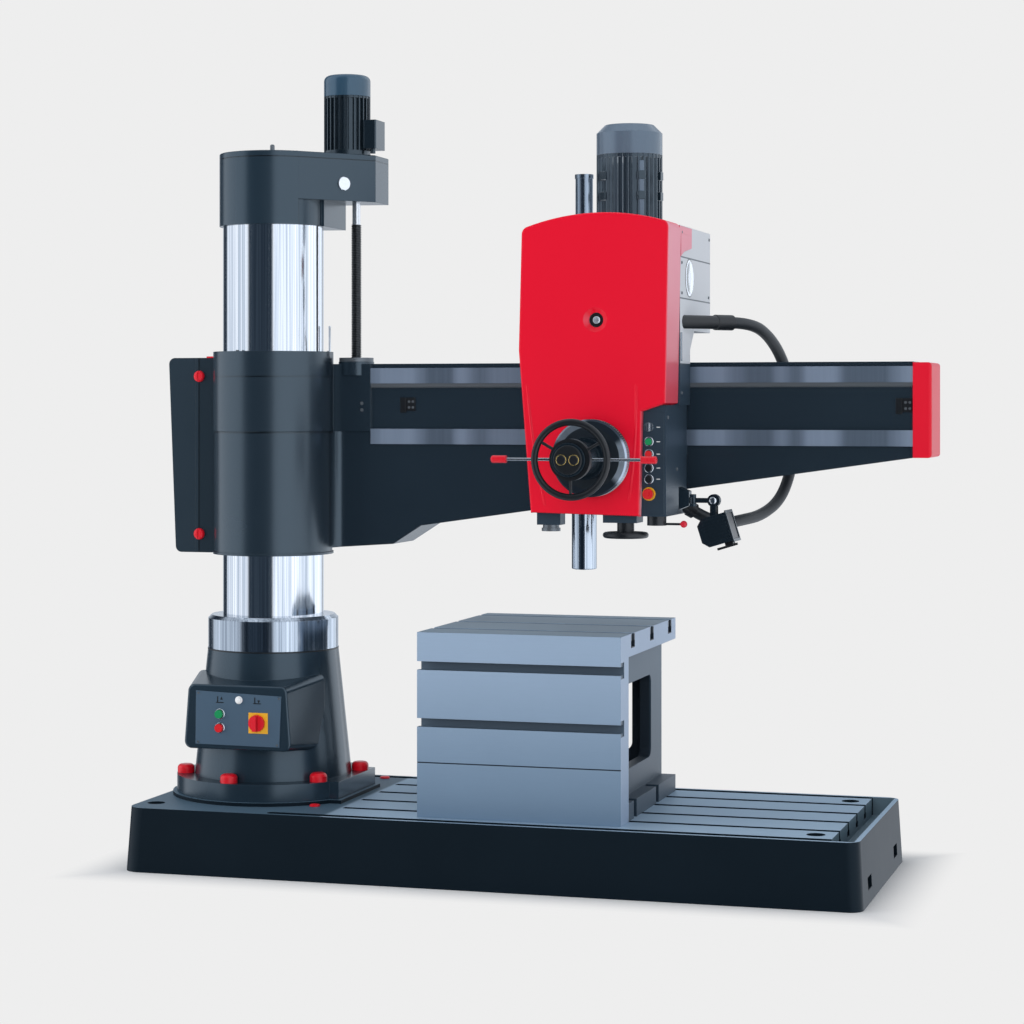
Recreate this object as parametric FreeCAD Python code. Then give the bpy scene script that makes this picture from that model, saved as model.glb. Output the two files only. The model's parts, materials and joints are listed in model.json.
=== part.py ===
import FreeCAD, Part
import math
import os

os.makedirs("parts", exist_ok=True)
V = FreeCAD.Vector

# Radial arm drill, millimetres. X runs along the base and the arm, Y to the back, Z up.
# The origin is the centre of the base's footprint, on the floor.

# Fits and gaps
running_fit = 0.05
body_gap = 0.3
press_gap = 0.02
thread_gap = 0.1

# Base plate
base_length = 2460.0
base_width = 940.0
base_height = 213.0
base_draft = 12.0
base_corner_left = 60.0
base_corner_right = 45.0
base_wall = 40.0
base_rib = 30.0
base_plate = 93.0
pocket_columns = 9
pocket_rows = 3
slot_pitch = 180.0
slot_neck = 28.0
slot_head = 50.0
slot_depth = 46.0
slot_head_height = 20.0
slot_start = 703.0
trough_end_width = 74.0
trough_side_width = 34.0
trough_rim = 16.0
trough_depth = 60.0
trough_side_start = 513.0
foundation_x = 2250.0
foundation_y = 700.0
foundation_inset = 58.0
foundation_hole_r = 16.5
foundation_sink_r = 30.0
foundation_sink_depth = 60.0
pad_height = 12.0
pad_edge = 14.0
pad_inset = 3.0
sling_hole = (80.0, 40.0)
sling_y = 290.0
sling_z = 62.0

# Column, pedestal and cap
column_inset = 343.0
column_x = column_inset - base_length / 2
column_r = 175.0
column_bore_r = 145.0
column_bottom = 734.0
column_top = 2400.0
inner_r = 125.0
inner_bore_r = 95.0
inner_top = 2380.0
bearing_height = 50.0
flange_r = 333.0
flange_flat = 310.0
flange_flat_width = 370.0
flange_height = 59.0
pedestal_r_bottom = 272.0
pedestal_r_top = 226.5
pedestal_top = 719.0
pedestal_collar = 39.0
pedestal_wall = 60.0
pedestal_bolt_count = 6
pedestal_bolt_ring = 302.0
pedestal_bolt_start = 22.0
pedestal_bolt_r = 12.0
bolt_depth = 68.0
pedestal_cap_r = 29.5
pedestal_cap_height = 30.0
panel_y = -311.0
panel_x = -8.0
panel_bottom = 397.0
panel_top = 614.0
panel_bottom_width = 387.0
panel_top_width = 353.0
panel_root_y = -100.0
panel_root_width = 470.0
panel_root_bottom = 380.0
panel_root_top = 640.0
panel_corner = 25.0
panel_edge = 9.0
plate_thickness = 2.0
plate_left = (-158.0, 413.0)
plate_right = (146.0, 411.0)
plate_top_right = (153.0, 582.0)
plate_top_left = (-156.0, 594.0)
main_switch = (66.0, 490.0)
start_place = (-69.0, 517.0)
stop_place = (-69.0, 470.0)
switch_stem_r = 8.0
switch_knob_r = 28.0
pedestal_button_r = 14.0
ring_r = 226.0
ring_top = 834.0
cap_r = 187.0
cap_bottom = 2180.0
cap_lobe_bottom = 2268.0
cap_seam = 2412.0
cap_top = 2432.0
cap_front = (141.0, -123.0)
cap_corner_front = (340.0, 106.0)
cap_corner_back = (340.0, 242.0)
cap_back = (-29.0, 185.0)
cap_lobe_x = 188.0
cap_step_r = 179.0

# Lift motor and lead screw
lift_x = 226.0
lift_y = 130.0
lift_r = 81.5
lift_body_height = 208.0
lift_cowl_height = 75.0
lift_cowl_corner = 20.0
lift_box = (48.0, 100.0, 100.0)
screw_x = 271.0
screw_y = 100.0
screw_r = 18.0
screw_bottom = 1500.0
screw_journal_r = 14.0
screw_journal_end = 2330.0
nut_r = 60.0
nut_height = 90.0
nut_lip = 22.0

# Arm and its sleeve
sleeve_r = 205.0
sleeve_band_r = 209.0
sleeve_bottom = 1044.0
sleeve_top = 1745.0
band_bottom = 1469.0
band_foot = 8.0
arm_front = 50.0
rail_depth = 12.0
arm_back = 280.0
arm_top = 1703.0
arm_end = 2216.0
arm_root = 341.0
root_bottom = 1079.0
root_low = 1050.0
root_fillet_r = 40.0
root_end = 420.0
slope_start = (522.0, 1144.0)
slope_end_z = 1388.0
arm_wall = 30.0
arm_hollow_start = 450.0
upper_rail = (1635.0, 1688.0)
lower_rail = (1425.0, 1478.0)
rack_height = 16.0
rack_thickness = 9.0
end_cap_length = 61.0
end_cap_wall = 4.0
end_cap_corner = 12.0

# Electrical cabinet on the sleeve
cabinet_x = -295.0
cabinet_inner_x = -210.0
cabinet_back = 380.0
cabinet_bottom = 1042.0
cabinet_top = 1726.0
cabinet_wall = 4.0
door_top_x = -396.0
door_bottom_x = -369.0
door_wall = 3.0
door_corner = 22.0
hinge_r = 6.0
hinge_pin_r = 3.0
hinge_leaf = 22.0
hinge_barrel = 28.0
latch_x = -279.0
latch_r = 20.0
latch_dome = 14.0
latch_inset = 65.0

# Drill head, measured from the spindle axis
spindle_reach = 1121.0
spindle_x = column_x + spindle_reach
head_bottom = 1200.0
head_top = 2152.0
head_left = -136.0
head_right = 341.0
head_wide_right = 353.0
head_front = -257.0
head_step_y = -105.0
head_back = 370.0
head_over_arm = 1809.0
head_wide_z = 1560.0
cover_y = -287.0
cover_wall = 3.0
cover_left_low = (-106.0, 1208.0)
cover_left_mid = (-147.0, 1740.0)
cover_left_top = (-137.0, 2137.0)
cover_crown = (94.0, 2185.0)
cover_right_top = (357.0, 2152.0)
cover_right_mid = (346.0, 1567.0)
cover_notch = (266.0, 1540.0)
cover_right_low = (259.0, 1200.0)
cover_corner = 26.0
cover_tab_low = 2050.0
cover_tab_high = 2104.0
cover_hole = (112.0, 1837.0)
cover_hole_r = 24.0
cover_dish_r = 40.0
guard_r = 29.5
guard_bore_r = 25.0
guard_top = 2335.0
guard_collar_r = 31.5
guard_collar_height = 14.0
quill_r = 42.0
quill_bore_r = 32.0
quill_bottom = 1010.0
quill_top = 1700.0
quill_hole_top = 1850.0
gear_room_x = (62.0, 300.0)
gear_room_y = (-220.0, 20.0)
gear_room_z = (1560.0, 2100.0)
spindle_shaft_r = 18.0
spindle_shaft_top = 2130.0
taper_mouth_r = 22.2
taper_depth = 136.0
taper_end_r = 18.7
motor_x = 143.0
motor_y = 55.0
motor_r = 111.0
motor_body_height = 248.0
motor_cowl_height = 101.0
motor_cowl_corner = 28.0

# Feed hub, traverse handwheel and levers
hub_x = 102.5
hub_z = 1388.6
hub_shaft_r = 30.0
hub_shaft_end = -150.0
hub_r = 54.0
hub_base_r = 68.0
hub_base_y = -400.0
hub_front = -587.0
dial_r = 126.0
dial_depth = 40.0
dial_gap = 3.0
dial_bore_r = 60.0
wheel_r = 129.0
wheel_rim_r = 11.0
wheel_y = -556.0
wheel_hub_r = 66.0
wheel_hub_width = 28.0
wheel_spoke_r = 5.0
lever_y = -522.0
lever_pivot = 38.0
lever_reach = 271.0
lever_r = 5.0
lever_eye_r = 8.0
lever_eye_width = 14.0
lever_pin_r = 3.5
lever_knob_r = 12.0
lever_knob_length = 51.0
post_r = 46.0
post_stem_r = 15.0
post_end = -120.0
hub_button_pitch = 40.8
hub_button_r = 14.0

# Controls on the head's front and underside
control_x = 285.0
control_top = 1489.0
control_drops = {
    "panel_selector": 0.0,
    "panel_start_button": 47.0,
    "panel_stop_button": 40.0,
    "panel_up_button": 45.0,
    "panel_down_button": 36.0,
    "emergency_stop": 48.0,
}
button_r = 11.0
button_stem_r = 5.0
button_travel = 4.0
under_y = -200.0
knob_block = (-60.0, 80.0, 33.0)
knob_r = 31.0
knob_height = 21.0
wheel_block = (184.0, 113.0, 23.0)
fine_x = 193.0
fine_r = 75.0
fine_stem_r = 28.0
fine_top = 1146.0
fine_height = 20.0
control_hub_x = 297.0
control_hub_r = 31.5
control_hub_height = 31.0
control_reach = 90.0
control_ball_r = 11.5

# Work lamp
lamp_y = -52.0
lamp_z = 1246.0
lamp_plate = (1221.0, 1284.0)
lamp_plate_depth = 35.0
lamp_pivot = 386.0
lamp_tilt_x = 456.0
lamp_pin_r = 4.0
lamp_size = (106.0, 104.0, 97.0)
lamp_drop = 96.0
lamp_out = 12.0
lamp_lean = 17.0
lamp_side = 4.0
lamp_wall = 5.0
lamp_corner = 20.0

# Coolant and cable hose
hose_r = 19.5
hose_bore_r = 15.0
hose_collar_r = 26.0
hose_collar_length = 70.0
hose_upper = (353.0, -40.0, 1836.0)
hose_upper_way = (0.64, 0.768, 0.0)
hose_upper_length = 200.0
hose_lower = (341.0, 0.0, 1228.0)
hose_lower_way = (0.72, 0.50, -0.48)
hose_lower_length = 44.0
hose_first = 90.0
hose_last = 98.0
hose_bends = [
    (580.0, 290.0, 1790.0),
    (608.0, 388.0, 1708.0),
    (628.0, 438.0, 1590.0),
    (634.0, 448.0, 1460.0),
    (626.0, 434.0, 1335.0),
    (598.0, 380.0, 1234.0),
    (550.0, 284.0, 1184.0),
    (502.0, 172.0, 1172.0),
]

# Box table
table_x0 = 657.0
table_length = 686.0
table_y = (-384.0, 407.0)
table_top = 818.0
table_plate = 73.0
table_front = 106.0
table_inset = 50.0
table_wall = 40.0
table_slots = (-219.0, 49.0, 317.0)
table_slot_depth = 44.0
front_slots = (709.0, 523.0)
window_y = (-120.0, 248.0)
back_window_x = (146.0, 540.0)
window_z = (354.0, 636.0)
window_corner = 30.0
foot_height = 58.0
foot_notch = 40.0
foot_notch_depth = 45.0
foot_rows = (-187.0, 129.0)
front_groove = 3.0
front_groove_z = 391.0


# Helpers
def block(x0, x1, y0, y1, z0, z1):
    return Part.makeBox(x1 - x0, y1 - y0, z1 - z0, V(x0, y0, z0))


def post(x, y, z0, z1, r):
    return Part.makeCylinder(r, z1 - z0, V(x, y, z0), V(0, 0, 1))


def pipe(x, y, z0, z1, r, bore):
    return post(x, y, z0, z1, r).cut(post(x, y, z0 - 1, z1 + 1, bore))


def bar_x(y, z, x0, x1, r):
    return Part.makeCylinder(r, x1 - x0, V(x0, y, z), V(1, 0, 0))


def bar_y(x, z, y0, y1, r):
    return Part.makeCylinder(r, y1 - y0, V(x, y0, z), V(0, 1, 0))


def taper(x, y, z0, z1, r0, r1):
    return Part.makeCone(r0, r1, z1 - z0, V(x, y, z0), V(0, 0, 1))


def loop(points):
    return Part.makePolygon([V(*p) for p in points] + [V(*points[0])])


def slab_z(points, z0, z1):
    return Part.Face(loop([(x, y, z0) for x, y in points])).extrude(V(0, 0, z1 - z0))


def slab_y(points, y0, y1):
    return Part.Face(loop([(x, y0, z) for x, z in points])).extrude(V(0, y1 - y0, 0))


def slab_x(points, x0, x1):
    return Part.Face(loop([(x0, y, z) for y, z in points])).extrude(V(x1 - x0, 0, 0))


def fuse(first, *others):
    for other in others:
        first = first.fuse(other)
    return first.removeSplitter()


def cut(first, *others):
    return first.cut(list(others)) if others else first


def edges_where(shape, test):
    return [e for e in shape.Edges if test(e)]


def at_height(z):
    return lambda e: all(abs(v.Z - z) < 0.01 for v in e.Vertexes)


def upright(e):
    a, b = e.Vertexes[0].Point, e.Vertexes[-1].Point
    return len(e.Vertexes) == 2 and (a - b).cross(V(0, 0, 1)).Length < 0.01


def rounded(shape, radius, test):
    return shape.makeFillet(radius, edges_where(shape, test))


def bevelled(shape, size, test):
    return shape.makeChamfer(size, edges_where(shape, test))


def finned(x, y, z0, z1, r, core, count, width):
    shape = post(x, y, z0, z1, core)
    for k in range(count):
        fin = block(x + core - 4, x + r, y - width / 2, y + width / 2, z0, z1)
        fin.rotate(V(x, y, 0), V(0, 0, 1), 360.0 * k / count)
        shape = shape.fuse(fin)
    return shape


def tee_slot_x(x0, x1, y, top, depth):
    neck = block(x0, x1, y - slot_neck / 2, y + slot_neck / 2, top - depth, top + 1)
    low = top - depth
    return neck.fuse(block(x0, x1, y - slot_head / 2, y + slot_head / 2, low, low + slot_head_height))


# Derived places
base_x0 = -base_length / 2
base_x1 = base_length / 2
slot_rows = [-1.5 * slot_pitch, -0.5 * slot_pitch, 0.5 * slot_pitch, 1.5 * slot_pitch]
end_trough_x = base_x1 - trough_rim - trough_end_width
foundation_centre = base_x0 + foundation_inset + foundation_x / 2
side_trough_y = base_width / 2 - trough_rim - trough_side_width
pad_top = base_height + pad_height
flange_top = pad_top + flange_height
control_heights = {}
height = control_top
for name, drop in control_drops.items():
    height -= drop
    control_heights[name] = height


# Base
def base_outline(grow, z):
    x0, x1 = base_x0 - grow, base_x1 + grow
    y1 = base_width / 2 + grow
    corners = [
        (x1, -y1, base_corner_right),
        (x1, y1, base_corner_right),
        (x0, y1, base_corner_left),
        (x0, -y1, base_corner_left),
    ]
    edges = []
    last = None
    turns = [(-1, 0, 0, 1), (0, -1, -1, 0), (1, 0, 0, -1), (0, 1, 1, 0)]
    for (x, y, r), (ax, ay, bx, by) in zip(corners, turns):
        start = V(x + ax * r, y + ay * r, z)
        end = V(x + bx * r, y + by * r, z)
        k = r * (1 - math.sqrt(0.5))
        mid = V(x + (ax + bx) * k, y + (ay + by) * k, z)
        if last is None:
            first = start
        else:
            edges.append(Part.LineSegment(last, start).toShape())
        edges.append(Part.Arc(start, mid, end).toShape())
        last = end
    edges.append(Part.LineSegment(last, first).toShape())
    return Part.Wire(edges)


def pedestal_bolt_places():
    places = []
    for k in range(pedestal_bolt_count):
        a = math.radians(pedestal_bolt_start + 360.0 * k / pedestal_bolt_count)
        places.append((column_x + pedestal_bolt_ring * math.cos(a), pedestal_bolt_ring * math.sin(a)))
    return places


def foundation_places():
    xs = (foundation_centre - foundation_x / 2, foundation_centre + foundation_x / 2)
    return [(x, y) for x in xs for y in (-foundation_y / 2, foundation_y / 2)]


def base_casting():
    body = Part.makeLoft([base_outline(base_draft, 0), base_outline(0, base_height)], True, True)
    cuts = []
    room_x = base_length - 2 * base_wall - (pocket_columns - 1) * base_rib
    room_y = base_width - 2 * base_wall - (pocket_rows - 1) * base_rib
    step_x, step_y = room_x / pocket_columns, room_y / pocket_rows
    for i in range(pocket_columns):
        x = base_x0 + base_wall + i * (step_x + base_rib)
        for j in range(pocket_rows):
            y = -base_width / 2 + base_wall + j * (step_y + base_rib)
            cuts.append(block(x, x + step_x, y, y + step_y, -1, base_height - base_plate))
    for y in slot_rows:
        cuts.append(tee_slot_x(base_x0 + slot_start, end_trough_x + 1, y, base_height, slot_depth))
    floor_z = base_height - trough_depth
    y_out = base_width / 2 - trough_rim
    cuts.append(block(end_trough_x, base_x1 - trough_rim, -y_out, y_out, floor_z, base_height + 1))
    for side in (-1, 1):
        y0, y1 = sorted((side * side_trough_y, side * y_out))
        x = base_x0 + trough_side_start
        cuts.append(block(x, base_x1 - trough_rim, y0, y1, floor_z, base_height + 1))
        cuts.append(post(x, (y0 + y1) / 2, floor_z, base_height + 1, trough_side_width / 2))
        w, h = sling_hole
        y = side * sling_y
        x0, x1 = base_x1 - base_wall - 1, base_x1 + base_draft + 1
        cuts.append(block(x0, x1, y - w / 2, y + w / 2, sling_z - h / 2, sling_z + h / 2))
    for x, y in foundation_places():
        cuts.append(post(x, y, -1, base_height + 1, foundation_hole_r))
        cuts.append(post(x, y, base_height - foundation_sink_depth, base_height + 1, foundation_sink_r))
        pad = post(x, y, 0, base_height - base_plate, foundation_sink_r + 12)
        cuts = [c.cut(pad) if c.BoundBox.ZMin < 0 and c.Volume > 1e6 else c for c in cuts]
    for x, y in pedestal_bolt_places():
        cuts.append(post(x, y, base_height - bolt_depth - 2, pad_top + 1, pedestal_bolt_r + thread_gap))
    limit = Part.Face(base_outline(-pad_inset, base_height)).extrude(V(0, 0, pad_height))
    pad = flange_plate(pad_edge, base_height, pad_top).common(limit)
    return cut(body.fuse(pad), *cuts).removeSplitter()


# Pedestal
def flange_plate(grow, z0, z1):
    plate = post(column_x, 0, z0, z1, flange_r + grow)
    w = flange_flat_width / 2 + grow
    far = column_x + flange_flat + grow
    plate = plate.fuse(block(column_x, far, -w, w, z0, z1))
    return plate.cut(block(far, far + 200, -400, 400, z0 - 1, z1 + 1)).removeSplitter()


def pedestal_casting():
    flange = flange_plate(0, pad_top, flange_top)
    cone = taper(column_x, 0, flange_top, pedestal_top, pedestal_r_bottom, pedestal_r_top)
    front = panel_wire(panel_y, panel_bottom_width, panel_top_width, panel_bottom, panel_top)
    back = panel_wire(panel_root_y, panel_root_width, panel_root_width, panel_root_bottom, panel_root_top)
    box = Part.makeLoft([front, back], True, True)
    box = rounded(box, panel_corner, lambda e: abs(e.Vertexes[0].Y - e.Vertexes[-1].Y) > 1)
    box = rounded(box, panel_edge, lambda e: all(abs(v.Y - panel_y) < 0.01 for v in e.Vertexes))
    body = fuse(flange, cone, box)
    r0, r1 = pedestal_r_bottom - pedestal_wall, pedestal_r_top - pedestal_wall
    z1 = pedestal_top - pedestal_collar
    body = body.cut(taper(column_x, 0, pad_top - 1, z1, r0, r1))
    body = body.cut(post(column_x, 0, pad_top, pedestal_top + 1, inner_r + press_gap))
    for x, y in pedestal_bolt_places():
        body = body.cut(post(x, y, pad_top - 1, flange_top + 1, pedestal_bolt_r + 1))
    for x, z, r in pedestal_control_holes():
        body = body.cut(bar_y(x, z, panel_y - 1, panel_y + 31, r))
    return body


def panel_wire(y, low_width, high_width, low, high):
    x = column_x + panel_x
    a, b = low_width / 2, high_width / 2
    return loop([(x - a, y, low), (x + a, y, low), (x + b, y, high), (x - b, y, high)])


def pedestal_control_holes():
    holes = [(main_switch, switch_stem_r), (start_place, button_stem_r), (stop_place, button_stem_r)]
    return [(column_x + p[0], p[1], r + running_fit) for p, r in holes]


def pedestal_plate():
    corners = [plate_left, plate_right, plate_top_right, plate_top_left]
    corners = [(column_x + x, z) for x, z in corners]
    plate = slab_y(corners, panel_y - plate_thickness, panel_y)
    for hx, hz, r in pedestal_control_holes():
        plate = plate.cut(bar_y(hx, hz, panel_y - plate_thickness - 1, panel_y + 1, r + 3))
    return plate


def pedestal_bolts():
    parts = []
    for x, y in pedestal_bolt_places():
        cap = post(x, y, flange_top, flange_top + pedestal_cap_height, pedestal_cap_r)
        cap = rounded(cap, 14, at_height(flange_top + pedestal_cap_height))
        stud = post(x, y, base_height - bolt_depth, flange_top + 1, pedestal_bolt_r)
        parts.append(fuse(cap, stud))
    return Part.makeCompound(parts)


def push_button(x, z, face_y, r, stem_r, proud, travel):
    head_back = face_y - travel - 1
    head = bar_y(x, z, face_y - proud - travel, head_back, r)
    return fuse(head, bar_y(x, z, head_back, face_y + 22, stem_r))


def main_switch_knob():
    x, z = column_x + main_switch[0], main_switch[1]
    face = panel_y - plate_thickness - body_gap
    disc = bar_y(x, z, face - 10, face, switch_knob_r)
    grip = block(x - 7, x + 7, face - 30, face - 10, z - switch_knob_r + 3, z + switch_knob_r - 3)
    return fuse(disc, grip, bar_y(x, z, face, panel_y + 24, switch_stem_r))


def pedestal_button(place):
    x, z = column_x + place[0], place[1]
    face = panel_y - plate_thickness
    return push_button(x, z, face, pedestal_button_r, button_stem_r, 10, button_travel)


# Column
def inner_column():
    return pipe(column_x, 0, pad_top, inner_top, inner_r, inner_bore_r)


def column_bearings():
    low = column_bottom + 6
    high = inner_top - 2 * bearing_height
    r = column_bore_r - running_fit
    rings = [pipe(column_x, 0, z, z + bearing_height, r, inner_r + press_gap) for z in (low, high)]
    return Part.makeCompound(rings)


def outer_column():
    return pipe(column_x, 0, column_bottom, column_top, column_r, column_bore_r)


def column_ring():
    z0 = pedestal_top + 0.5
    ring = post(column_x, 0, z0, ring_top, ring_r)
    ring = bevelled(ring, 12, at_height(ring_top))
    bore = post(column_x, 0, column_bottom, ring_top + 1, column_r + press_gap)
    well = post(column_x, 0, z0 - 1, column_bottom + 0.5, column_bore_r + 2)
    return ring.cut(bore).cut(well)


# Cap and lift drive
def cap_outline(z0, z1):
    corners = [cap_front, cap_corner_front, cap_corner_back, cap_back]
    shape = slab_z([(column_x + x, y) for x, y in corners + [(0, 0)]], z0, z1)
    return fuse(shape, post(column_x, 0, z0, z1, cap_r))


def cap_housing():
    upper = cap_outline(cap_lobe_bottom, cap_seam)
    lobe = cap_outline(cap_bottom, cap_lobe_bottom)
    x = column_x + cap_lobe_x
    lobe = lobe.cut(block(x, x + 400, -400, 400, cap_bottom - 1, cap_lobe_bottom + 1))
    front = block(column_x, x + 200, -400, 0, cap_bottom, cap_lobe_bottom)
    front = front.cut(post(column_x, 0, cap_bottom - 1, cap_lobe_bottom + 1, cap_r))
    fx, fy = cap_front
    wedge = [(column_x, 0), (column_x + 3 * fx, 3 * fy), (column_x + 3 * fx, 0)]
    step = slab_z(wedge, cap_bottom - 1, cap_lobe_bottom)
    step = step.cut(post(column_x, 0, cap_bottom - 2, cap_lobe_bottom + 1, cap_step_r))
    body = fuse(upper, lobe.cut(front).cut(step))
    body = body.cut(post(column_x, 0, cap_bottom - 1, column_top, column_r + press_gap))
    sx = column_x + screw_x
    return body.cut(post(sx, screw_y, cap_bottom - 1, screw_journal_end + 2, screw_journal_r + running_fit))


def cap_cover():
    cover = cap_outline(cap_seam, cap_top)
    return rounded(cover, 4, at_height(cap_top))


def lift_motor_body():
    x = column_x + lift_x
    z1 = cap_top + lift_body_height
    body = finned(x, lift_y, cap_top, z1, lift_r, lift_r - 11, 28, 5)
    foot = post(x, lift_y, cap_top, cap_top + 18, lift_r)
    return fuse(body, foot, post(x, lift_y, z1 - 8, z1, lift_r - 2))


def lift_motor_cowl():
    x = column_x + lift_x
    z0 = cap_top + lift_body_height
    cowl = post(x, lift_y, z0, z0 + lift_cowl_height, lift_r)
    return rounded(cowl, lift_cowl_corner, at_height(z0 + lift_cowl_height))


def lift_terminal_box():
    dx, dy, dz = lift_box
    x0 = column_x + lift_x + lift_r - 6
    y0 = lift_y - dy / 2
    z0 = cap_top + 22
    box = block(x0, x0 + dx, y0, y0 + dy, z0, z0 + dz)
    box = rounded(box, 6, upright)
    seat = post(column_x + lift_x, lift_y, z0 - 1, z0 + dz + 1, lift_r + body_gap / 2)
    gland = post(x0 + dx - 18, y0 + 22, z0 - 16, z0, 9)
    return fuse(box.cut(seat), gland)


def lead_screw():
    x = column_x + screw_x
    upper = post(x, screw_y, cap_lobe_bottom - 6, screw_journal_end, screw_journal_r)
    thread = post(x, screw_y, screw_bottom, cap_lobe_bottom - 6, screw_r)
    return fuse(upper, thread)


# Arm
def arm_casting():
    cx = column_x
    sleeve = post(cx, 0, sleeve_bottom, sleeve_top, sleeve_r)
    band = post(cx, 0, band_bottom, sleeve_top, sleeve_band_r)
    foot = post(cx, 0, sleeve_bottom, sleeve_bottom + band_foot, sleeve_band_r + 0.5)
    side = [
        (cx, root_low),
        (cx + root_end, root_bottom),
        (cx + slope_start[0], slope_start[1]),
        (cx + arm_end, slope_end_z),
        (cx + arm_end, arm_top),
        (cx, arm_top),
    ]
    beam = slab_y(side, arm_front + rail_depth, arm_back)
    root = block(cx, cx + arm_root, arm_front, arm_front + rail_depth, band_bottom, arm_top)
    corner = root_fillet().common(slab_y(side, 0, arm_back))
    nut_seat = post(cx + screw_x, screw_y, arm_top - 40, arm_top + 8, nut_r + 2)
    body = fuse(sleeve, band, foot, beam, root, corner, nut_seat)
    slope = (slope_end_z - slope_start[1]) / (arm_end - slope_start[0])
    x0 = arm_hollow_start
    z0 = slope_start[1] + slope * (x0 - slope_start[0]) + arm_wall + 10
    x1 = arm_end + 1
    z1, z2 = slope_end_z + arm_wall, arm_top - arm_wall
    hollow = [(cx + x0, z0), (cx + x1, z1), (cx + x1, z2), (cx + x0, z2)]
    body = body.cut(slab_y(hollow, arm_front + rail_depth + arm_wall, arm_back - arm_wall))
    body = body.cut(post(cx, 0, root_bottom - 100, sleeve_top + 1, column_r + running_fit))
    body = body.cut(post(cx + screw_x, screw_y, root_low - 1, arm_top + 30, screw_r + 6))
    nut_z = arm_top + 8 - nut_height + nut_lip
    return body.cut(post(cx + screw_x, screw_y, nut_z - nut_lip, arm_top + 30, nut_r * 0.75))


def root_fillet():
    r = root_fillet_r
    y = arm_front + rail_depth - r
    x = math.sqrt((sleeve_r + r) ** 2 - y**2)
    points = [(0, 0), (x, y), (x, y + r), (0, y + r)]
    corner = slab_z([(column_x + px, py) for px, py in points], root_low, band_bottom)
    return corner.cut(post(column_x + x, y, root_low - 1, band_bottom + 1, r))


def upper_rail_section():
    z0, z1 = upper_rail
    y0, y1 = arm_front, arm_front + rail_depth
    return [(y0, z0), (y0, z1), (y1, z1 - rail_depth), (y1, z0)]


def lower_rail_section():
    z0, z1 = lower_rail
    y0, y1 = arm_front, arm_front + rail_depth
    return [(y0, z1), (y0, z0), (y1, z0 + rail_depth), (y1, z1)]


def arm_rail(section):
    return slab_x(section, column_x + arm_root, column_x + arm_end)


def traverse_rack():
    z1 = upper_rail[0]
    y1 = arm_front + rail_depth
    x0, x1 = column_x + arm_root, column_x + arm_end
    rack = block(x0, x1, y1 - rack_thickness, y1, z1 - rack_height, z1)
    return rack


def lift_nut():
    x = column_x + screw_x
    top = arm_top + 8
    flange = post(x, screw_y, top, top + nut_lip - 8, nut_r)
    sleeve = post(x, screw_y, top - nut_height + nut_lip, top, nut_r * 0.75 - press_gap)
    return fuse(flange, sleeve).cut(post(x, screw_y, top - 200, top + 50, screw_r + running_fit))


def arm_end_cap():
    x0 = column_x + arm_end
    x1 = x0 + end_cap_length
    y0, y1 = arm_front - 5, arm_back + 5
    z0, z1 = slope_end_z, arm_top - 3
    cap = block(x0, x1, y0, y1, z0, z1)
    cap = rounded(cap, end_cap_corner, lambda e: all(v.X > x1 - 1 for v in e.Vertexes))
    w = end_cap_wall + 6
    far = x1 - end_cap_wall - end_cap_corner / 2
    return cap.cut(block(x0 - 1, far, y0 + w, y1 - w, z0 + w, z1 - w))


# Cabinet
def cabinet_box():
    x0, x1 = column_x + cabinet_x, column_x + cabinet_inner_x
    z0, z1 = cabinet_bottom, cabinet_top
    w = cabinet_wall
    shell = block(x0, x1, 0, cabinet_back, z0, z1)
    shell = shell.cut(block(x0 - 1, x1 - w, w, cabinet_back - w, z0 + w, z1 - w))
    lug = block(x1 - 1, x1 + 80, 0, 170, z0 + 8, z1 - 8)
    lug = lug.cut(post(column_x, 0, z0, z1, sleeve_band_r + 0.5 + body_gap))
    shell = fuse(shell, lug)
    for z in hinge_places():
        shell = shell.fuse(knuckle(z + hinge_barrel + body_gap, hinge_barrel, 1))
        shell = shell.fuse(post(*hinge_axis(), z, z + hinge_barrel + 1, hinge_pin_r))
    for z in (cabinet_top - latch_inset, cabinet_bottom + latch_inset):
        shell = shell.cut(bar_y(column_x + latch_x, z, -1, w + 1, 6 + running_fit))
    return shell.removeSplitter()


def hinge_axis():
    return column_x + cabinet_x, cabinet_back + hinge_r + body_gap


def hinge_places():
    return (cabinet_bottom + 90, cabinet_top - 150)


def knuckle(z, height, side):
    x, y = hinge_axis()
    barrel = post(x, y, z, z + height, hinge_r)
    a, b = sorted((x + side * body_gap, x + side * hinge_leaf))
    leaf = block(a, b, cabinet_back - 1, y, z, z + height)
    return barrel.fuse(leaf.cut(post(x, y, z, z + height, hinge_r)))


def outer_edge(e):
    a, b = e.Vertexes[0], e.Vertexes[-1]
    return abs(a.Y - b.Y) > 1 and a.X < column_x + (door_top_x + cabinet_x) / 2


def cabinet_door():
    x1 = column_x + cabinet_x - body_gap
    top, low = column_x + door_top_x, column_x + door_bottom_x
    z0, z1 = cabinet_bottom, cabinet_top
    outer = slab_y([(x1, z0), (x1, z1), (top, z1), (low, z0)], 0, cabinet_back)
    outer = rounded(outer, door_corner, outer_edge)
    w = door_wall
    inner = [(x1 + 1, z0 + w), (x1 + 1, z1 - w), (top + w, z1 - w), (low + w, z0 + w)]
    inner = rounded(slab_y(inner, w, cabinet_back - w), door_corner - w, outer_edge)
    door = outer.cut(inner)
    x, y = hinge_axis()
    for z in hinge_places():
        barrel = knuckle(z, hinge_barrel, -1)
        door = door.fuse(barrel).cut(post(x, y, z - 1, z + hinge_barrel + 1, hinge_pin_r + running_fit))
    return door.removeSplitter()


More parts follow.
